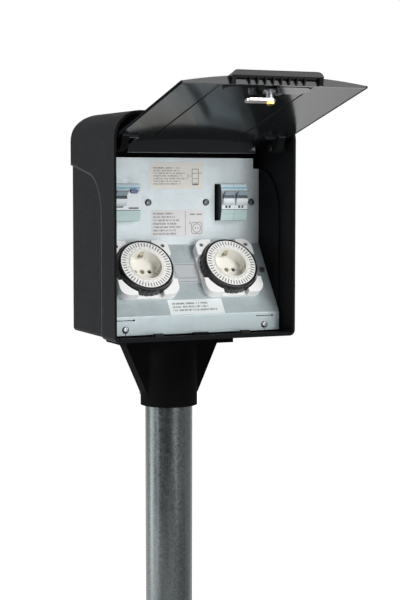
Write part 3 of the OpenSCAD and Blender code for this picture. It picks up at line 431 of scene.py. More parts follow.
def make_zinc_spangle():
    """Frozen zinc crystals, each with its own shade, fine pores, and bands along the height that are drawn
    streaks and painted reflection streaks.
    """
    group, given, out = new_group(
        "zinc_spangle", {"Crystals": 260.0, "Pores": 1100.0, "Bands": 90.0}, ("Shade", "Pore", "Flow"))
    point = object_point(group)
    warp = noise(group, point, given["Crystals"], Detail=2.0)
    bent = mix(group, CRYSTAL_WARP, point, warp[1], kind="VECTOR")
    crystals = add(group, "ShaderNodeTexVoronoi", Vector=bent, Scale=given["Crystals"])
    shade = add(group, "ShaderNodeSeparateColor", Color=crystals.outputs["Color"])
    drawn_out = add(group, "ShaderNodeMapping", Vector=point, Location=BAND_SHIFT, Scale=BAND_STRETCH)
    flow = noise(group, drawn_out.outputs[0], given["Bands"], Detail=5.0)
    connect(group, out["Shade"], shade.outputs[0])
    connect(group, out["Pore"], noise(group, point, given["Pores"], Detail=4.0)[0])
    connect(group, out["Flow"], spread(group, flow[0], STREAK_SHEEN_SPAN))
    return group


def make_greeked_rows():
    """Rows of made-up word shapes: U runs to the right and V down, both in millimetres."""
    group, given, out = new_group(
        "greeked_rows", {"U": 0.0, "V": 0.0, "Rows": 5.0, "Pitch": 3.0, "Length": 30.0, "Letter": 0.9},
        ("Ink",))
    op = partial(math_node, group)

    def chance(**key):
        """A fixed random value for each cell."""
        cell = add(group, "ShaderNodeCombineXYZ", **key)
        return add(group, "ShaderNodeTexWhiteNoise", Vector=cell.outputs[0]).outputs[0]

    place = op("DIVIDE", given["V"], given["Pitch"])
    row = op("FLOOR", place)
    down = op("FRACT", place)
    across = op("DIVIDE", given["U"], given["Letter"])
    letter = chance(X=op("FLOOR", across), Y=row)
    column = op("FLOOR", op("MULTIPLY", across, LETTER_COLUMNS))
    mark = chance(X=column, Y=row, Z=op("FLOOR", op("MULTIPLY", down, LETTER_LINES)))
    shortened = op("SUBTRACT", 1.0, op("MULTIPLY", chance(X=row), RAGGED))
    tests = (
        op("GREATER_THAN", down, ROW_TOP),
        op("LESS_THAN", down, ROW_FOOT),
        op("LESS_THAN", op("FRACT", across), LETTER_FILL),
        op("GREATER_THAN", letter, WORD_GAP),
        op("GREATER_THAN", mark, STROKE_GAP),
        op("GREATER_THAN", given["U"], 0.0),
        op("LESS_THAN", given["U"], op("MULTIPLY", given["Length"], shortened)),
        op("GREATER_THAN", given["V"], 0.0),
        op("LESS_THAN", row, given["Rows"]),
    )
    ink = tests[0]
    for test in tests[1:]:
        ink = op("MULTIPLY", ink, test)
    connect(group, out["Ink"], ink)
    return group


def make_height_band():
    """1 between two heights, in metres."""
    group, given, out = new_group("height_band", {"Low": 0.0, "High": 0.0}, ("Band",))
    height = parts_of(group, object_point(group))[2]
    above = math_node(group, "GREATER_THAN", height, given["Low"])
    below = math_node(group, "LESS_THAN", height, given["High"])
    connect(group, out["Band"], math_node(group, "MULTIPLY", above, below))
    return group


def make_side_edges():
    """1 further to the left or right of the box's middle than a limit, in metres."""
    group, given, out = new_group("side_edges", {"Limit": 0.0}, ("Edge",))
    aside = math_node(group, "ABSOLUTE", parts_of(group, object_point(group))[0])
    connect(group, out["Edge"], math_node(group, "GREATER_THAN", aside, given["Limit"]))
    return group


GRAIN = make_fine_grain()
MARKS = make_handling_marks()
ZINC = make_zinc_spangle()
WORDS = make_greeked_rows()
BANDS = make_height_band()
EDGES = make_side_edges()


# Finishes

DUST_COLOUR = display(150, 148, 142)
CASE_SHADES = (display(206, 214, 219), display(222, 228, 231))
NOTE_BEIGE = display(226, 223, 216)
NOTE_GREY = display(216, 215, 216)
NOTE_WHITE = display(224, 229, 230)
GREY_INK = display(84, 86, 90)
DARK_INK = display(58, 60, 64)


def plastic(name, colour, rough, grain, specular=0.5, dust=0.06, coat=0.0, coat_index=1.5):
    """Moulded plastic: mould grain in the normal, rubbed patches in the gloss and a little dust."""
    material, tree, shader = new_material(
        name, Specular_IOR_Level=specular,
        Coat_Weight=coat, Coat_Roughness=COAT_BLUR, Coat_IOR=coat_index)
    op = partial(math_node, tree)
    mould = use_group(tree, GRAIN)
    marks = use_group(tree, MARKS)
    pale = tuple(min(1, channel * PALE_GAIN + PALE_LIFT) for channel in colour[:3]) + (1,)
    clouded = mix(tree, op("MULTIPLY", mould["Cloud"], CLOUD_IN_PLASTIC), colour, pale)
    dusty = mix(tree, op("MULTIPLY", marks["Dust"], dust), clouded, DUST_COLOUR)
    connect(tree, shader.inputs["Base Color"], dusty)
    rubbed = op("MULTIPLY_ADD", marks["Rub"], RUB_IN_GLOSS, rough + MATT_START)
    worn = op("MULTIPLY_ADD", mould["Cloud"], CLOUD_IN_GLOSS, rubbed, clamp=True)
    connect(tree, shader.inputs["Roughness"], worn)
    bump(tree, shader, mould["Height"], MOULD_BUMP, grain)
    return material


def galvanised(name, dark, light, rough, crystals, flow, metallic=1.0, bands=90.0):
    """Hot-dip zinc: crystals that differ in shade and gloss, with bands along the height that are partly
    drawn streaks and partly painted reflection streaks.
    """
    material, tree, shader = new_material(name, Metallic=metallic)
    zinc = use_group(tree, ZINC, Crystals=crystals, Bands=bands)
    crystal = math_node(tree, "MULTIPLY", zinc["Shade"], 1.0 - flow)
    # painted reflection: the bands lay light and dark streaks over the crystals, partly also drawn-tube
    # streaks
    shade = math_node(tree, "MULTIPLY_ADD", zinc["Flow"], flow, crystal, clamp=True)
    connect(tree, shader.inputs["Base Color"], mix(tree, shade, dark, light))
    connect(tree, shader.inputs["Roughness"], spread(tree, zinc["Shade"], (0.0, 1.0), rough))
    bump(tree, shader, zinc["Pore"], *ZINC_BUMP)
    return material


def plated(name, colour, tarnish, rough):
    """Plated metal with a cloudy tarnish and fine rubs."""
    material, tree, shader = new_material(name, Metallic=1.0)
    marks = use_group(tree, MARKS, Specks=900.0, Streaks=400.0)
    grain = use_group(tree, GRAIN, Scale=3500.0, Cloud=160.0)
    cloudy = math_node(tree, "MULTIPLY", grain["Cloud"], TARNISH_SHARE)
    connect(tree, shader.inputs["Base Color"], mix(tree, cloudy, colour, tarnish))
    rubbed = math_node(tree, "MULTIPLY_ADD", marks["Rub"], RUB_IN_PLATING, rough)
    connect(tree, shader.inputs["Roughness"], rubbed)
    bump(tree, shader, grain["Height"], *PLATED_BUMP)
    return material


def height_band(tree, low, high):
    """1 between two heights above the box's lower edge, in millimetres."""
    return use_group(tree, BANDS, Low=HOOD_LOW.z + low * MM, High=HOOD_LOW.z + high * MM)["Band"]


def breaker_plastic(name, rough):
    """The pale plastic of breakers: material, tree, shader, and a colour still to be connected."""
    material, tree, shader = new_material(name, Specular_IOR_Level=0.45)
    grain = use_group(tree, GRAIN, Scale=3000.0)
    marks = use_group(tree, MARKS)
    rubbed = math_node(tree, "MULTIPLY_ADD", marks["Rub"], RUB_IN_CASE, rough)
    connect(tree, shader.inputs["Roughness"], rubbed)
    bump(tree, shader, grain["Height"], *CASE_BUMP)
    return material, tree, shader, mix(tree, grain["Cloud"], *CASE_SHADES)


def breaker_case():
    """Pale case with painted shade on its flanks and along the covers' top edge, a teal printed band on top
    and faintly green terminal covers below.
    """
    material, tree, shader, colour = breaker_plastic("breaker_case", CASE_ROUGH)
    colour = mix(tree, height_band(tree, *BAND_Z), colour, display(214, 234, 243))
    colour = mix(tree, height_band(tree, *LINE_Z), colour, display(108, 186, 208))
    colour = mix(tree, height_band(tree, *COVER_Z), colour, display(180, 203, 203))
    # painted shade: a dark line in the groove along the covers' top edge
    colour = mix(tree, height_band(tree, *COVER_SHADE_Z), colour, display(70, 84, 88))
    # painted shade: the breakers' side faces are dark, as in the gap between them
    normal = tree.nodes.new("ShaderNodeNewGeometry").outputs["True Normal"]
    sideways = math_node(tree, "ABSOLUTE", parts_of(tree, normal)[0])
    shaded_flank = math_node(tree, "GREATER_THAN", sideways, SHADE_FLANK_NORMAL)
    connect(tree, shader.inputs["Base Color"], mix(tree, shaded_flank, colour, display(44, 48, 52)))
    return material


def toggle_plastic():
    """Breaker lever: one grey-blue painted as a lit crest and a shaded underside, and the drum below in the
    case's colour.
    """
    material, tree, shader, colour = breaker_plastic("toggle_grey", LEVER_ROUGH)
    # painted shade on the lever's underside and painted light on its crest
    colour = mix(tree, height_band(tree, *LEVER_SHADE_Z), colour, display(74, 82, 90))
    colour = mix(tree, height_band(tree, *LEVER_LIT_Z), colour, display(150, 165, 175))
    connect(tree, shader.inputs["Base Color"], colour)
    return material


def printed_film(name, paper, ink, place, rows, pitch, length, letter, left, top):
    """A note's face with greeked rows; left and top are the text's corner, in the note's millimetres."""
    material, tree, shader = new_material(name, Specular_IOR_Level=0.4)
    point = object_point(tree)

    def from_corner(direction, sign, offset):
        """Millimetres from the text's corner along one of the note's own directions."""
        start = place.translation.dot(direction) * sign / MM
        return math_node(tree, "SUBTRACT", along(tree, point, direction * sign / MM), start + offset)

    u = from_corner(place.col[0].xyz, 1, left)
    v = from_corner(place.col[1].xyz, -1, -top)
    words = use_group(tree, WORDS, U=u, V=v, Rows=rows, Pitch=pitch, Length=length, Letter=letter)
    grain = use_group(tree, GRAIN, Scale=1800.0, Cloud=60.0)
    aged = tuple(channel * AGED for channel in paper[:3]) + (1,)
    sheet = mix(tree, math_node(tree, "MULTIPLY", grain["Cloud"], AGED_SHARE), paper, aged)
    connect(tree, shader.inputs["Base Color"], mix(tree, words["Ink"], sheet, ink))
    rough = math_node(tree, "MULTIPLY_ADD", grain["Cloud"], CLOUD_IN_FILM, FILM_ROUGH)
    connect(tree, shader.inputs["Roughness"], rough)
    bump(tree, shader, grain["Height"], *FILM_BUMP)
    return material


FINISH = {
    # painted reflection: the post's strong dark and light bands are reflection streaks, partly also
    # drawn-tube streaks; the sheet's bands are faint
    "post": galvanised("post_zinc", display(26, 29, 30), display(92, 96, 97),
                       rough=(0.2, 0.34), crystals=420.0, flow=0.74, bands=42.0),
    "sheet": galvanised("panel_zinc", display(172, 182, 186), display(187, 195, 198),
                        rough=(0.42, 0.56), crystals=190.0, flow=0.3, metallic=0.3),
    "neck": plastic("neck_moulding", display(3, 3, 4), rough=0.66, grain=0.05, specular=0.01, dust=0.01),
    "hood": plastic("hood_moulding", display(12, 13, 15), rough=0.5, grain=0.06, specular=0.03, dust=0.03),
    "shell": plastic("shell_moulding", display(12, 13, 15), rough=0.5, grain=0.06, specular=0.03, dust=0.03),
    "lid": plastic("lid_moulding", display(14, 16, 18), rough=0.15, grain=0.015, specular=0.04, dust=0.03,
                   coat=0.42, coat_index=1.95),
    "handle": plastic("handle_gloss", display(4, 4, 5), rough=0.12, grain=0.01, specular=0.11, dust=0.01),
    "ring": plastic("ring_gloss", display(16, 16, 18), rough=0.22, grain=0.01, dust=0.03),
    "rubber": plastic("soft_rubber", display(18, 18, 18), rough=0.7, grain=0.06, specular=0.3),
    "timer": plastic("timer_white", display(245, 246, 245), rough=0.38, grain=0.02, dust=0.02),
    "dial": plastic("dial_white", display(240, 240, 236), rough=0.34, grain=0.01, dust=0.02),
    "socket": plastic("socket_cream", display(236, 234, 224), rough=0.3, grain=0.01, dust=0.02),
    "terminal": plastic("terminal_cream", display(228, 223, 208), rough=0.5, grain=0.03),
    "toggle": toggle_plastic(),
    "button": plastic("button_blue", display(8, 32, 100), rough=0.28, grain=0.01, dust=0.02),
    "case": breaker_case(),
    "bright": plated("bright_zinc", display(150, 153, 157), display(106, 109, 113), rough=0.34),
    "dark": plated("dark_screw", display(96, 99, 103), display(52, 54, 57), rough=0.34),
    "brass": plated("brass_metal", display(201, 164, 92), display(150, 116, 60), rough=0.26),
    "spring": plated("spring_bronze", display(172, 165, 140), display(116, 110, 92), rough=0.4),
    "cam": plated("cam_zinc", display(222, 214, 214), display(196, 188, 188), rough=0.34),
    "ink": plastic("label_ink", display(62, 64, 68), rough=0.6, grain=0.01, dust=0.0),
    "dial_ink": plastic("dial_ink", display(84, 84, 88), rough=0.5, grain=0.01, dust=0.0),
    "red_ink": plastic("red_ink", display(186, 66, 62), rough=0.5, grain=0.01, dust=0.0),
    "film": plastic("bare_film", display(178, 182, 184), rough=0.4, grain=0.02, dust=0.03),
}

NODES_BY_FINISH = {
    "post": ("post_tube",),
    "sheet": ("front_panel",),
    "neck": ("neck",),
    "hood": ("front_hood",),
    "shell": ("rear_shell",),
    "lid": ("lid_shell",),
    "handle": ("lid_handle", "lock_nut"),
    "ring": ("dial_ring_left", "dial_ring_right"),
    "rubber": ("cable_grommet", "lid_buffers"),
    "timer": ("timer_base_left", "timer_base_right", "timer_case_left", "timer_case_right"),
    "dial": ("dial_face_left", "dial_face_right"),
    "socket": ("socket_insert_left", "socket_insert_right"),
    "terminal": ("supply_terminal",),
    "toggle": ("rcd_lever", "mcb_left_lever", "mcb_right_lever"),
    "button": ("rcd_test_button",),
    "case": ("rcd_body", "mcb_left_body", "mcb_right_body"),
    "bright": ("neck_clamp_screws", "neck_bolts", "din_rail", "rail_screws", "panel_pillars",
               "flange_screws", "slope_screws", "terminal_screws", "timer_screws",
               "lock_barrel", "lock_spindle"),
    "dark": ("shell_screws", "hinge_pins", "pillar_screws", "contact_sleeves", "handle_screws"),
    "brass": ("earth_bar", "cam_screw"),
    "spring": ("socket_screws", "earth_clips_left", "earth_clips_right"),
    "cam": ("lock_cam",),
}


# Places on a node with a tone mixed in: painted shade, painted light, and the lid's matt faces and ears

def beyond_side(tree, limit):
    """1 further than the limit, in metres, to the left or right of the box's middle."""
    return use_group(tree, EDGES, Limit=limit)["Edge"]


def facing(tree, direction):
    """1 on the faces that look in a direction."""
    normal = tree.nodes.new("ShaderNodeTexCoord").outputs["Normal"]
    return math_node(tree, "GREATER_THAN", along(tree, normal, direction), OUTER_FACE)


def weathered_foot(tree):
    """Painted shade: rises from the sheet's upper bend down to the flange, where the zinc is painted darker
    and bluer.
    """
    span = [HOOD_LOW.z + height * MM for height in (SHADE_TOP, SHADE_FOOT)]
    return spread(tree, parts_of(tree, object_point(tree))[2], span, (0.0, SHADE_SHARE))


def lid_rim(tree):
    """1 along the lid's two side edges, where painted shade goes."""
    return beyond_side(tree, LID_HIGH.x - RIM_SHADE_WIDTH * MM)


def lid_outside(tree):
    """1 on the lid's outer face."""
    return facing(tree, LID_OUT)


def lid_front(tree):
    """A share on the narrow face at the lid's free end, where painted light goes."""
    return math_node(tree, "MULTIPLY", facing(tree, LID_ALONG), FRONT_LIGHT_SHARE)


def hinge_ears(tree):
    """1 on the lid's hinge ears: below its rim and out towards the sides."""
    height = along(tree, object_point(tree), LID_OUT)
    low = math_node(tree, "LESS_THAN", height, LID_HINGE.dot(LID_OUT) + LID_RIM * MM)
    return math_node(tree, "MULTIPLY", low, beyond_side(tree, EAR_X * MM))


def seam_edge(tree):
    """A share on the hood's rounded edge along its seam, which runs up and bends back over the shell: a
    painted highlight.
    """
    op = partial(math_node, tree)
    slant = math.radians(SEAM_SLANT)
    point = parts_of(tree, object_point(tree))
    back = op("SUBTRACT", point[1], HOOD_LOW.y + (SEAM_Y + SEAM_R) * MM)
    up = op("SUBTRACT", point[2], HOOD_LOW.z + SEAM_BEND_Z * MM)
    above = op("MAXIMUM", up, 0.0)
    bend = op("SQRT", op("MULTIPLY_ADD", back, back, op("MULTIPLY", above, above)))
    run = op("MULTIPLY_ADD", back, -math.sin(slant), op("MULTIPLY", up, math.cos(slant)))
    rear = op("GREATER_THAN", back, -SEAM_R * MM * math.sin(slant))
    distance = op("MULTIPLY_ADD", rear, op("SUBTRACT", run, bend), bend)
    near = op("LESS_THAN", distance, (SEAM_R + SEAM_EDGE) * MM)
    side = beyond_side(tree, HOOD_HIGH.x - SEAM_EDGE * MM)
    return op("MULTIPLY", op("MULTIPLY", near, side), SEAM_HIGHLIGHT_SHARE)


def tone(finish, place, colour, dull=False):
    """Mixes a colour into a finish at a place that is told in its own tree; its gloss can go too."""
    tree = FINISH[finish].node_tree
    shader = tree.nodes["Principled BSDF"]
    base = shader.inputs["Base Color"]
    where = place(tree)
    connect(tree, base, mix(tree, where, base.links[0].from_socket, colour))
    if dull:
        rough = shader.inputs["Roughness"]
        matt = math_node(tree, "MULTIPLY_ADD", where, MATT_MORE, rough.links[0].from_socket, clamp=True)
        connect(tree, rough, matt)
        coat = shader.inputs["Coat Weight"]
        full = coat.links[0].from_socket if coat.links else coat.default_value
        rest = math_node(tree, "SUBTRACT", 1.0, where)
        connect(tree, coat, math_node(tree, "MULTIPLY", full, rest))


def dress(piece, material):
    """Gives a piece one material."""
    piece.data.materials.clear()
    piece.data.materials.append(material)


def dress_nodes():
    """Gives each CAD node its finish, after the tones of single places are mixed in."""
    # painted shade: the sheet gets darker and bluer from its upper bend down to the flange
    tone("sheet", weathered_foot, display(130, 147, 149))
    # painted shade: dark matt lines along the lid's two side rims
    tone("lid", lid_rim, display(8, 9, 10), dull=True)
    tone("lid", lid_outside, display(32, 33, 35), dull=True)
    # painted light: the lid's free-end face is a flat mid grey in place of the light it catches, with its
    # gloss taken off
    tone("lid", lid_front, display(40, 41, 43), dull=True)
    tone("lid", hinge_ears, display(16, 17, 18), dull=True)
    # painted highlight: a lighter grey line along the hood's seam edge
    tone("hood", seam_edge, display(62, 63, 66))
    for finish, names in NODES_BY_FINISH.items():
        for name in names:
            dress(NODES[name], FINISH[finish])


# Modelling

def deselect():
    """Leaves nothing selected."""
    bpy.ops.object.select_all(action="DESELECT")


def pick(piece):
    """Selects this piece alone and makes it the active one."""
    deselect()
    bpy.context.view_layer.objects.active = piece
    piece.select_set(True)


def edit(piece):
    """Opens only this piece in edit mode, with all of it selected."""
    pick(piece)
    bpy.ops.object.mode_set(mode="EDIT")
    bpy.ops.mesh.select_all(action="SELECT")


def select_parts(piece, kind, test):
    """Selects only those vertices or edges of the piece in edit mode that pass the test."""
    bpy.ops.mesh.select_all(action="DESELECT")
    bpy.ops.object.mode_set(mode="OBJECT")
    for part in getattr(piece.data, kind):
        part.select = test(part)
    bpy.ops.object.mode_set(mode="EDIT")


def close_edit():
    """Turns the normals outwards and leaves edit mode."""
    bpy.ops.mesh.select_all(action="SELECT")
    bpy.ops.mesh.normals_make_consistent(inside=False)
    bpy.ops.object.mode_set(mode="OBJECT")


def put(piece, place):
    """Moves a piece that is modelled at the origin, and writes its place into its mesh."""
    pick(piece)
    piece.matrix_world = place
    bpy.ops.object.transform_apply(location=True, rotation=True, scale=True)


def flat_shape(centre, size, corner=0.0, line=0.0, depth=INK, base=0.0, steps=CORNER_STEPS):
    """A thin plate in millimetres; round corners if asked for, and with a line width its outline alone."""
    deselect()
    bpy.ops.mesh.primitive_plane_add(size=1, location=(centre[0] * MM, centre[1] * MM, base * MM))
    shape = bpy.context.object
    shape.scale = (size[0] * MM, size[1] * MM, 1)
    bpy.ops.object.transform_apply(location=True, scale=True)
    edit(shape)
    if corner:
        bpy.ops.mesh.bevel(offset=corner * MM, segments=steps, affect="VERTICES")
        bpy.ops.mesh.select_all(action="SELECT")
    if line:
        bpy.ops.mesh.inset(thickness=line * MM)
        bpy.ops.mesh.delete(type="FACE")
        bpy.ops.mesh.select_all(action="SELECT")
    bpy.ops.mesh.extrude_region_move(TRANSFORM_OT_translate={"value": (0, 0, depth * MM)})
    close_edit()
    return shape


def drawn(strokes, centre=(0, 0), base=0.0):
    """The strokes of a print round its centre."""
    return [flat_shape((centre[0] + x, centre[1] + y), size, corner, line, base=base)
            for (x, y), size, corner, line in strokes]


def joined(name, shapes):
    """The shapes as one piece of that name."""
    deselect()
    for shape in shapes:
        shape.select_set(True)
    bpy.context.view_layer.objects.active = shapes[0]
    if len(shapes) > 1:
        bpy.ops.object.join()
    shapes[0].name = name
    return shapes[0]


def copies(piece, count):
    """The piece and its copies, each with its own mesh."""
    made = [piece]
    while len(made) < count:
        pick(piece)
        bpy.ops.object.duplicate(linked=False)
        made.append(bpy.context.object)
    return made


def repeated(piece, places):
    """The piece at each of the places: one is modelled, and the others are its copies."""
    made = copies(piece, len(places))
    for one, place in zip(made, places):
        put(one, place)
    return made


def both_sides(piece):
    """Each timer's side with its piece, of which the second is a copy, named for the side."""
    kind = piece.name
    pair = list(zip(SIDES, copies(piece, len(SIDES))))
    for side, one in pair:
        one.name = f"{kind}_{side}"
    return pair


def settle(piece, place, body, material):
    """Puts a piece where it belongs, on its body and in its finish."""
    put(piece, place)
    dress(piece, material)
    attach(piece, body)
    return piece


# Places

def placed(origin, up, out):
    """The matrix of a face: x across the box, y up the face and z out of it."""
    place = Matrix.Identity(4)
    for index, column in enumerate((ACROSS, up, out, origin)):
        place.col[index][:3] = column
    return place


def upright_at(x, y, z):
    """On an upright face at a depth, in millimetres from the box's middle and lower edge."""
    return placed(Vector((x * MM, y, HOOD_LOW.z + z * MM)), UPRIGHT, FORWARD)


def on_panel(x, z):
    """On the sheet's upright part."""
    return upright_at(x, PANEL_HIGH.y - SHEET * MM, z)


def on_flange(x, z):
    """On the flange at the sheet's foot."""
    return upright_at(x, PANEL_LOW.y, z)


def on_nose(x, z):
    """On the breakers' noses."""
    return upright_at(x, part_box("rcd_body")[0].y, z)


def on_slope(x, up, level):
    """On the slant, up from the dials' axes, at a level along the slant's normal."""
    foot = Vector((x * MM, DIAL_POINT["left"].y, DIAL_POINT["left"].z))
    foot += SLOPE_UP * up * MM
    return placed(foot + SLOPE_OUT * (level - foot.dot(SLOPE_OUT)), SLOPE_UP, SLOPE_OUT)


def at_dial(side, level):
    """On a dial's axis, at a level along the slant's normal."""
    return on_slope(DIAL_POINT[side].x / MM, 0, level)


def turned(*angles):
    """Turns about a piece's own axis."""
    return [Matrix.Rotation(angle, 4, "Z") for angle in angles]


def reach(name, direction):
    """How far a node goes in a direction."""
    return max(vertex.co.dot(direction) for vertex in NODES[name].data.vertices)


SLANT_LEVEL = DIAL_POINT["left"].dot(SLOPE_OUT) - DIAL_LIFT * MM
FACE_LEVEL = reach("dial_face_left", SLOPE_OUT)
WELL_LEVEL = FACE_LEVEL - WELL_DEPTH * MM


# Labels

def label(name, place, size, material):
    """A film stuck on the sheet."""
    film = joined(name, [flat_shape((0, 0), size, NOTE_CORNER, depth=FILM)])
    return settle(film, place, "root", material)


def pictogram(name, place, shapes):
    """A line drawing on a film."""
    return settle(joined(name, shapes), place, "root", FINISH["ink"])


def make_labels():
    """Three notes with made-up rows, two of them with a plain sign, and a bare plate."""
    upper = on_panel(*BREAKER_NOTE_AT)
    upper_print = printed_film("breaker_note_print", NOTE_BEIGE, GREY_INK, upper, **BREAKER_ROWS)
    label("breaker_note", upper, BREAKER_NOTE_SIZE, upper_print)
    pictogram("breaker_note_sign", upper, drawn(BREAKER_SIGN, BREAKER_SIGN_AT, base=FILM))
    lower = on_panel(*SOCKET_NOTE_AT)
    lower_print = printed_film("socket_note_print", NOTE_GREY, GREY_INK, lower, **SOCKET_ROWS)
    label("socket_note", lower, SOCKET_NOTE_SIZE, lower_print)
    sign = drawn(SOCKET_SIGN, SOCKET_SIGN_AT, base=FILM)
    pictogram("socket_note_sign", lower, sign + drawn(SOCKET_NOTE_LINES, base=FILM))
    foot = on_slope(*SAFETY_NOTE_AT, SLANT_LEVEL)
    foot_print = printed_film("safety_note_print", NOTE_WHITE, DARK_INK, foot, **SAFETY_ROWS)
    label("safety_note", foot, SAFETY_NOTE_SIZE, foot_print)
    middle = on_slope(*PLATE_AT, SLANT_LEVEL)
    label("bare_plate", middle, PLATE_SIZE, FINISH["film"])
    pictogram("bare_plate_lines", middle, drawn(PLATE_LINES, base=FILM))


# Dials and sockets

def number(text, angle):
    """One printed hour, standing on its radius."""
    deselect()
    bpy.ops.object.text_add()
    figure = bpy.context.object
    figure.data.body = text
    figure.data.size = NUMBER_SIZE * MM
    figure.data.align_x = "CENTER"
    figure.data.align_y = "CENTER"
    figure.data.extrude = INK * MM
    bpy.ops.object.convert(target="MESH")
    figure = bpy.context.object
    put(figure, Matrix.Rotation(angle, 4, "Z") @ Matrix.Translation((0, NUMBER_R * MM, 0)))
    return figure


def tick_ring(count, length, width, radius):
    """Radial ticks: one is made and spun round."""
    tick = flat_shape((0, radius), (width, length))
    edit(tick)
    bpy.ops.mesh.spin(steps=count - 1, dupli=True, angle=FULL_TURN * (count - 1) / count,
                      center=(0, 0, 0), axis=(0, 0, 1))
    close_edit()
    return tick


def make_dial_prints():
    """Hours, half-hour ticks and an inner line on each dial's white face."""
    rim = (2 * RIM_LINE_R, 2 * RIM_LINE_R)
    shapes = [
        tick_ring(TICKS, TICK_LENGTH, TICK_WIDTH, TICK_R),
        flat_shape((0, 0), rim, RIM_LINE_R * RIM_ROUND, RIM_LINE, steps=ROUND_STEPS),
    ]
    for hour in range(1, HOURS + 1):
        shapes.append(number(str(hour), -FULL_TURN * (hour - HOUR_SHIFT) / HOURS))
    for side, one in both_sides(joined("dial_print", shapes)):
        settle(one, at_dial(side, FACE_LEVEL), f"timer_dial_{side}", FINISH["dial_ink"])


def bowed_spring():
    """A sprung earth contact: a strip that bows out of its slot into the well."""
    deselect()
    bpy.ops.mesh.primitive_grid_add(x_subdivisions=SPRING_COLUMNS, y_subdivisions=SPRING_ROWS, size=1)
    strip = bpy.context.object
    strip.scale = (SPRING_WIDTH * MM, SPRING_LENGTH * MM, 1)
    bpy.ops.object.transform_apply(scale=True)
    edit(strip)
    select_parts(strip, "vertices", lambda vertex: abs(vertex.co.y) < BOW_MIDDLE * MM)
    bpy.ops.transform.translate(value=(0, 0, BOW_HEIGHT * MM), use_proportional_edit=True,
                                proportional_edit_falloff="SMOOTH", proportional_size=BOW_REACH * MM)
    close_edit()
    thicken = strip.modifiers.new("thickness", "SOLIDIFY")
    thicken.thickness = SPRING_THICK * MM
    bpy.ops.object.modifier_apply(modifier=thicken.name)
    seat = Matrix.Translation((0, (WELL_R + SPRING_SEAT) * MM, SPRING_LIFT * MM))
    put(strip, seat @ Matrix.Rotation(QUARTER_TURN, 4, "X"))
    return strip


def make_earth_springs():
    """Two springs in each well, across from each other."""
    springs = joined("earth_springs", repeated(bowed_spring(), turned(0, HALF_TURN)))
    for side, pair in both_sides(springs):
        settle(pair, at_dial(side, WELL_LEVEL), "root", FINISH["spring"])
        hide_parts(f"earth_clips_{side}")


def guide_key():
    """A rounded rib up the well's wall that guides the plug."""
    return flat_shape((0, WELL_R - KEY_SINK), KEY_SIZE, KEY_CORNER, depth=KEY_HEIGHT)


def make_guide_keys():
    """Two keys in each well, a quarter turn from the springs."""
    keys = joined("guide_keys", repeated(guide_key(), turned(QUARTER_TURN, -QUARTER_TURN)))
    for side, pair in both_sides(keys):
        settle(pair, at_dial(side, WELL_LEVEL), "root", FINISH["socket"])


# Screw heads

def pan_head():
    """A domed screw head with a cross recess."""
    deselect()
    bpy.ops.mesh.primitive_cylinder_add(vertices=HEAD_SIDES, radius=HEAD_R * MM, depth=HEAD_H * MM,
                                        location=(0, 0, HEAD_H * MM / 2))
    head = bpy.context.object
    bpy.ops.object.transform_apply(location=True)

    def on_top(edge):
        """Whether both ends of an edge are at the head's top."""
        ends = [head.data.vertices[index].co.z for index in edge.vertices]
        return min(ends) > HEAD_H * MM * HEAD_TOP

    edit(head)
    select_parts(head, "edges", on_top)
    bpy.ops.mesh.bevel(offset=HEAD_H * MM * DOME_SHARE, segments=DOME_STEPS, affect="EDGES")
    close_edit()
    arm = (HEAD_R * RECESS_LONG, HEAD_R * RECESS_WIDE)
    for size in (arm, arm[::-1]):
        cutter = flat_shape((0, 0), size, depth=HEAD_H, base=HEAD_H * RECESS_FLOOR)
        cut = head.modifiers.new("recess", "BOOLEAN")
        cut.object = cutter
        cut.operation = "DIFFERENCE"
        pick(head)
        bpy.ops.object.modifier_apply(modifier=cut.name)
        bpy.data.objects.remove(cutter)
    bpy.ops.object.shade_smooth_by_angle(angle=SMOOTH_ANGLE)
    return head


def make_screw_heads():
    """The heads of the upper panel screws and of the flange screws, in two rows."""
    heads = repeated(pan_head(), [Matrix.Translation((x * MM, 0, 0)) for x in PILLAR_X + FLANGE_X])
    pillars = joined("pillar_screw_heads", heads[:len(PILLAR_X)])
    settle(pillars, on_panel(0, PILLAR_Z), "root", FINISH["dark"])
    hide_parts("pillar_screws")
    flange = joined("flange_screw_heads", heads[len(PILLAR_X):])
    settle(flange, on_flange(0, FLANGE_Z), "root", FINISH["bright"])
    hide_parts("flange_screws")


# Breaker prints

def make_breaker_prints():
    """Plain marks on the breakers' noses, and a red line on the residual-current device."""
    marks = []
    for x in MCB_X:
        marks += drawn(MCB_MARKS, (x, 0))
    settle(joined("breaker_marks", marks), on_nose(0, MCB_MARKS_Z), "root", FINISH["ink"])
    red = joined("rcd_red_line", drawn(RED_LINE))
    settle(red, on_nose(*RED_LINE_AT), "root", FINISH["red_ink"])
    rows = joined("rcd_marks", drawn(RCD_MARKS))
    settle(rows, on_nose(*RCD_MARKS_AT), "root", FINISH["ink"])


# Studio

def sees_white(tree):
    """One for the rays that find the white background: the camera's, mirrored and transmitted ones."""
    rays = tree.nodes.new("ShaderNodeLightPath").outputs
    direct = math_node(tree, "MAXIMUM", rays["Is Camera Ray"], rays["Is Transmission Ray"])
    return math_node(tree, "MAXIMUM", direct, rays["Is Glossy Ray"])


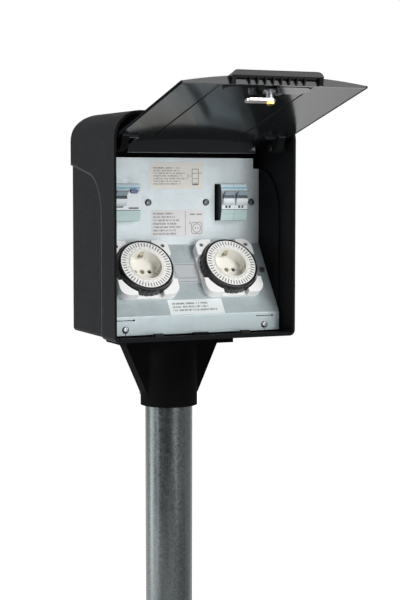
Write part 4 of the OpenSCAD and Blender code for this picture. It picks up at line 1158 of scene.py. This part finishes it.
def make_stage():
    """A white floor that keeps the object's shadow."""
    deselect()
    bpy.ops.mesh.primitive_plane_add(size=FLOOR_SIZE)
    floor = bpy.context.object
    floor.name = "studio_floor"
    material = bpy.data.materials.new("studio_white")
    material.use_nodes = True
    tree = material.node_tree
    tree.nodes.clear()
    paint = add(tree, "ShaderNodeBsdfDiffuse", Color=FLOOR_PAINT)
    away = add(tree, "ShaderNodeVectorMath", {"operation": "LENGTH"})
    connect(tree, away.inputs[0], object_point(tree))
    fade = spread(tree, away.outputs["Value"], FLOOR_FADE, FLOOR_GLOW)
    strength = math_node(tree, "MULTIPLY", sees_white(tree), fade)
    glow = add(tree, "ShaderNodeEmission", Color=WHITE, Strength=strength)
    mixed = add(tree, "ShaderNodeAddShader")
    connect(tree, mixed.inputs[0], paint.outputs[0])
    connect(tree, mixed.inputs[1], glow.outputs[0])
    add(tree, "ShaderNodeOutputMaterial", Surface=mixed.outputs[0])
    dress(floor, material)


def make_world():
    """A white surround that lights the object only as far as the ambient share says."""
    world = bpy.data.worlds.new("studio_world")
    bpy.context.scene.world = world
    world.use_nodes = True
    tree = world.node_tree
    tree.nodes.clear()
    strength = math_node(tree, "MULTIPLY_ADD", sees_white(tree), 1.0 - AMBIENT, AMBIENT)
    back = add(tree, "ShaderNodeBackground", Color=WHITE, Strength=strength)
    add(tree, "ShaderNodeOutputWorld", Surface=back.outputs[0])


def make_lights():
    """The soft boxes."""
    for name, (place, size, power) in SOFT_BOXES.items():
        lamp = bpy.data.lights.new(name, "AREA")
        lamp.shape = "RECTANGLE"
        lamp.size, lamp.size_y = size
        lamp.energy = power
        holder = bpy.data.objects.new(name, lamp)
        bpy.context.scene.collection.objects.link(holder)
        holder.location = place
        aim = TARGET - Vector(place)
        holder.rotation_euler = aim.to_track_quat("-Z", "Y").to_euler()


def make_camera():
    """The camera at the photograph's viewing angle."""
    lens = bpy.data.cameras.new("photo_camera")
    lens.sensor_fit = "AUTO"
    lens.sensor_width = CAMERA_SENSOR
    lens.lens = CAMERA_LENS
    lens.clip_end = CAMERA_SIGHT
    camera = bpy.data.objects.new("photo_camera", lens)
    bpy.context.scene.collection.objects.link(camera)
    camera.location = CAMERA_AT
    camera.rotation_euler = [math.radians(angle) for angle in (CAMERA_PITCH, CAMERA_ROLL, CAMERA_YAW)]
    bpy.context.scene.camera = camera


make_camera()
make_world()
make_lights()
make_stage()
dress_nodes()
make_labels()
make_dial_prints()
make_earth_springs()
make_guide_keys()
make_screw_heads()
make_breaker_prints()

bpy.context.scene.view_settings.view_transform = "Standard"
